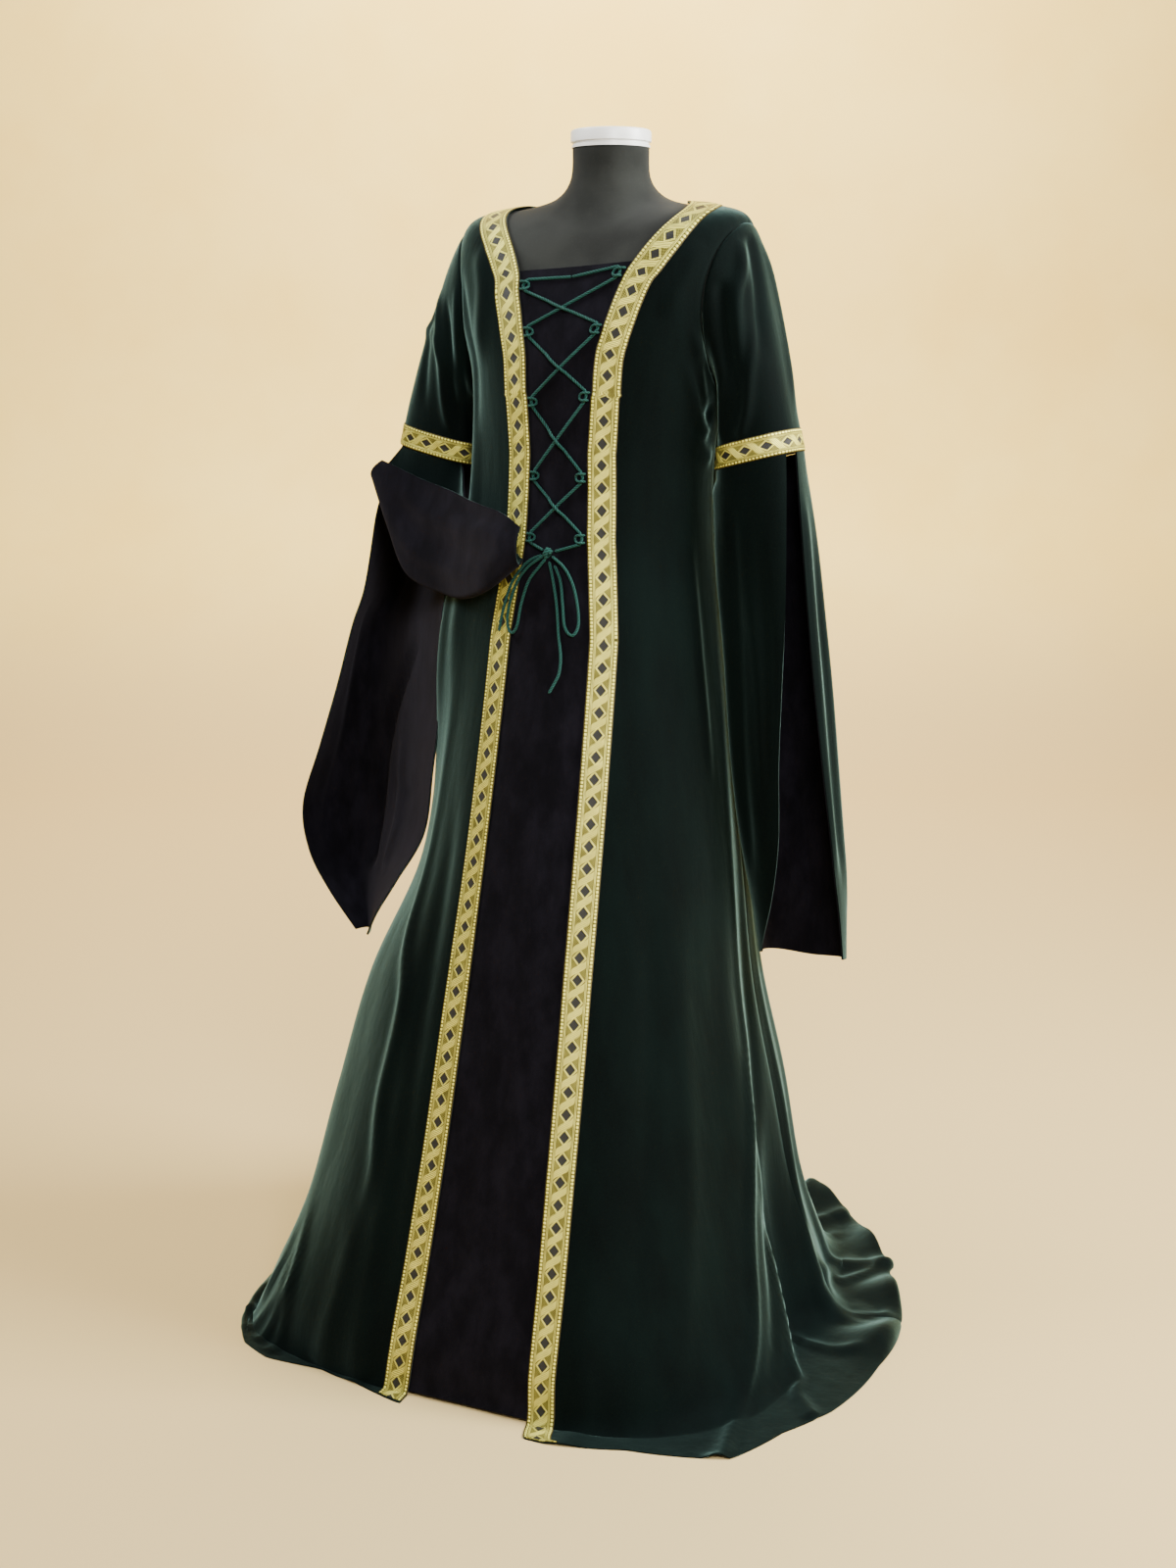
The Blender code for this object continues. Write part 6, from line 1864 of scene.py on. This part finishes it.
def braid_material():
    """Woven gold braid: bundles of strands between dark diamonds, ribs and beaded edges; painted
    shade in its grooves, painted highlight on its crests.
    """
    material, tree, shader = start_material(
        "gold_braid", Roughness=0.42, Specular_IOR_Level=0.35,
    )
    uv = new_node(tree, "ShaderNodeTexCoord").outputs["UV"]
    split = new_node(tree, "ShaderNodeSeparateXYZ", {"Vector": uv})
    across = calc(tree, "SUBTRACT", split.outputs["X"], 0.5)
    along = split.outputs["Y"]
    side = calc(tree, "ABSOLUTE", across)
    diamond = braid_diamond(tree, along, side)
    # Painted shade in the grooves and painted highlight on the crests of the weave, which also
    # serve as the bump's height
    light = braid_painted_shade(tree, across, along, side, diamond)
    worn = calc(tree, "SUBTRACT", noise(tree, object_place(tree), scale=60.0, detail=3.0), 0.5)
    light = weighed(tree, worn, WORN_LIGHT, light)
    # The gold runs from its painted shade to its painted highlight
    gold = mix_colour(tree, step_between(tree, light, low=0.05, high=0.95), GOLD_PAINTED_SHADE, GOLD_PAINTED_HIGHLIGHT)
    dark = mix_colour(tree, noise(tree, uv, scale=55.0), DIAMOND_DARK, DIAMOND_LIGHT)
    in_diamond = step_between(tree, diamond, low=1.06, high=0.96)
    on_edge = step_between(tree, side, low=0.472, high=0.488)
    colour = mix_colour(tree, on_edge, mix_colour(tree, in_diamond, gold, dark), GOLD_EDGE)
    connect(tree, colour, shader.inputs["Base Color"])
    metal = product(tree, calc(tree, "SUBTRACT", 1.0, in_diamond), GOLD_METALLIC)
    connect(tree, metal, shader.inputs["Metallic"])
    thread = wave(tree, "SINE", along, THREAD_CYCLES)
    normal = bump(tree, thread, distance=0.00012, strength=0.6)
    normal = bump(tree, light, distance=0.0005, strength=0.8, normal=normal)
    connect(tree, normal, shader.inputs["Normal"])
    return material


def cord_material():
    """Green twisted cord: painted shade in the grooves between its strands, lighter on the strands.
    """
    material, tree, shader = start_material(
        "green_cord", Roughness=0.6, Sheen_Weight=0.02, Specular_IOR_Level=0.20,
    )
    uv = new_node(tree, "ShaderNodeTexCoord").outputs["UV"]
    split = new_node(tree, "ShaderNodeSeparateXYZ", {"Vector": uv})
    round_turn = split.outputs["X"]
    lobe = calc(tree, "ABSOLUTE", wave(tree, "COSINE", round_turn, ROPE_STRANDS / 2))
    slant = weighed(tree, split.outputs["Y"], FIBRE_SLANT, round_turn)
    fibres = wave(tree, "SINE", slant, FIBRE_CYCLES)
    # Painted shade: darker in the grooves between the strands and between the fibres, lighter on
    # their crests
    light = step_between(tree, weighed(tree, fibres, FIBRE_PAINTED_SHADE, lobe), low=0.15, high=0.95)
    colour = mix_colour(tree, light, CORD_PAINTED_SHADE, CORD_LIGHT)
    connect(tree, colour, shader.inputs["Base Color"])
    normal = bump(tree, fibres, distance=0.00015, strength=0.6)
    connect(tree, normal, shader.inputs["Normal"])
    return material


def form_material():
    """The form's charcoal jersey cover, with a little dust."""
    material, tree, shader = start_material(
        "form_cloth", Roughness=0.85, Sheen_Weight=0.05, Sheen_Roughness=0.5,
        Specular_IOR_Level=0.15,
    )
    place = object_place(tree)
    knit = new_node(
        tree, "ShaderNodeTexWave", {"Vector": place, "Scale": 260.0, "Distortion": 1.5},
        bands_direction="Z",
    ).outputs["Fac"]
    patches = noise(tree, place, scale=14.0, detail=3.0)
    specks = noise(tree, place, scale=420.0, detail=3.0, roughness=0.7)
    dust = step_between(tree, specks, low=0.52, high=0.72)
    share = weighed(tree, knit, FORM_KNIT, step_between(tree, patches, low=0.30, high=0.72))
    share = weighed(tree, dust, FORM_DUST, product(tree, share, FORM_PATCHES))
    colour = mix_colour(tree, share, FORM_DARK, FORM_LIGHT)
    connect(tree, colour, shader.inputs["Base Color"])
    normal = bump(tree, knit, distance=0.0003, strength=0.4)
    connect(tree, normal, shader.inputs["Normal"])
    return material


def metal_material(name, colour, roughness, metallic):
    """Painted or brushed metal with fine marks of wear."""
    material, tree, shader = start_material(name, Metallic=metallic)
    marks = noise(tree, object_place(tree, METAL_STRETCH), scale=18.0, detail=4.0)
    shade = tuple(part * METAL_SHADE for part in colour[:3]) + (1,)
    connect(tree, mix_colour(tree, marks, shade, colour), shader.inputs["Base Color"])
    rough = weighed(tree, marks, METAL_WEAR, roughness - METAL_WEAR / 2)
    connect(tree, rough, shader.inputs["Roughness"])
    normal = bump(tree, marks, distance=0.0002, strength=0.3)
    connect(tree, normal, shader.inputs["Normal"])
    return material


def backdrop_material():
    """Pale cream paper with a faint mottle, and painted shade on the floor, which is darker and
    browner than the wall.
    """
    material, tree, shader = start_material("backdrop", Roughness=0.95, Specular_IOR_Level=0.1)
    place = object_place(tree)
    mottled = noise(tree, place, scale=1.6, detail=4.0, roughness=0.6)
    share = step_between(tree, mottled, low=0.3, high=0.7)
    wall = mix_colour(tree, share, WALL_DARK, WALL_LIGHT)
    height = new_node(tree, "ShaderNodeSeparateXYZ", {"Vector": place}).outputs["Z"]
    # Painted shade on the floor, fading into the wall's colour as the paper rises
    raised = step_between(tree, height, low=0.0, high=FLOOR_RISE)
    colour = mix_colour(tree, raised, FLOOR_PAINTED_SHADE, wall)
    connect(tree, colour, shader.inputs["Base Color"])
    return material


# Stage

def add_stage():
    """A pale floor that curves up into a backdrop behind the gown."""
    profile = [(-STAGE_REACH, 0.0)]
    for step in range(STAGE_CURVE_STEPS + 1):
        turn = math.pi / 2 * step / STAGE_CURVE_STEPS
        profile.append((
            STAGE_BACK - STAGE_CURVE + STAGE_CURVE * math.sin(turn),
            STAGE_CURVE - STAGE_CURVE * math.cos(turn),
        ))
    profile.append((STAGE_BACK, STAGE_HEIGHT))
    yaw = math.radians(CAMERA_YAW)
    across = np.array([math.cos(yaw), math.sin(yaw), 0])
    away = np.array([-math.sin(yaw), math.cos(yaw), 0])
    points = []
    for reach, height in profile:
        for side in (-1, 1):
            points.append(away * reach + across * side * STAGE_REACH + (0, 0, height))
    faces = []
    for row in range(0, len(points) - 2, 2):
        faces.append((row, row + 1, row + 3, row + 2))
    mesh = bpy.data.meshes.new("backdrop")
    mesh.from_pydata([point.tolist() for point in points], [], faces)
    mesh.materials.append(backdrop_material())
    mesh.shade_smooth()
    floor = bpy.data.objects.new("backdrop", mesh)
    bpy.context.scene.collection.objects.link(floor)


def add_light(name, place, aim, power, size, colour):
    """A square soft light that faces a place."""
    data = bpy.data.lights.new(name, "AREA")
    data.energy = power
    data.size = size
    data.color = colour
    light = bpy.data.objects.new(name, data)
    light.location = place
    light.visible_camera = False
    way = Vector(aim) - Vector(place)
    light.rotation_euler = way.to_track_quat("-Z", "Y").to_euler()
    bpy.context.scene.collection.objects.link(light)


def add_lights():
    """Soft studio light: a key in front, a fill, one on the side, one on the wall, and pale air."""
    for row in LIGHTS:
        add_light(*row)
    world = bpy.data.worlds.new("studio")
    world.use_nodes = True
    background = world.node_tree.nodes["Background"]
    background.inputs["Color"].default_value = WORLD_COLOUR
    background.inputs["Strength"].default_value = WORLD_STRENGTH
    bpy.context.scene.world = world


def add_camera():
    """The camera at the photograph's angle."""
    yaw = math.radians(CAMERA_YAW)
    pitch = math.radians(CAMERA_PITCH)
    data = bpy.data.cameras.new("camera")
    data.lens = CAMERA_LENS
    data.sensor_width = CAMERA_SENSOR
    camera = bpy.data.objects.new("camera", data)
    camera.location = (
        CAMERA_DISTANCE * math.sin(yaw) + CAMERA_SIDE * math.cos(yaw),
        -CAMERA_DISTANCE * math.cos(yaw) + CAMERA_SIDE * math.sin(yaw),
        CAMERA_HEIGHT,
    )
    camera.rotation_euler = (math.pi / 2 - pitch, 0, yaw)
    bpy.context.scene.collection.objects.link(camera)
    bpy.context.scene.camera = camera


def main():
    """The gown on its form and stand, with the stage, the lights and the camera."""
    velvet = velvet_material()
    black = black_material()
    braid = braid_material()
    cord = cord_material()
    add_camera()
    add_cords(cord)
    add_body(velvet, black)
    add_braids(braid)
    add_upper_sleeves(velvet, braid)
    add_lower_sleeves(velvet, black)
    white = metal_material("white_metal", CAP_WHITE, roughness=0.35, metallic=0.0)
    steel = metal_material("steel", STEEL_GREY, roughness=0.35, metallic=1.0)
    add_form(form_material(), white, steel)
    add_stage()
    add_lights()


main()
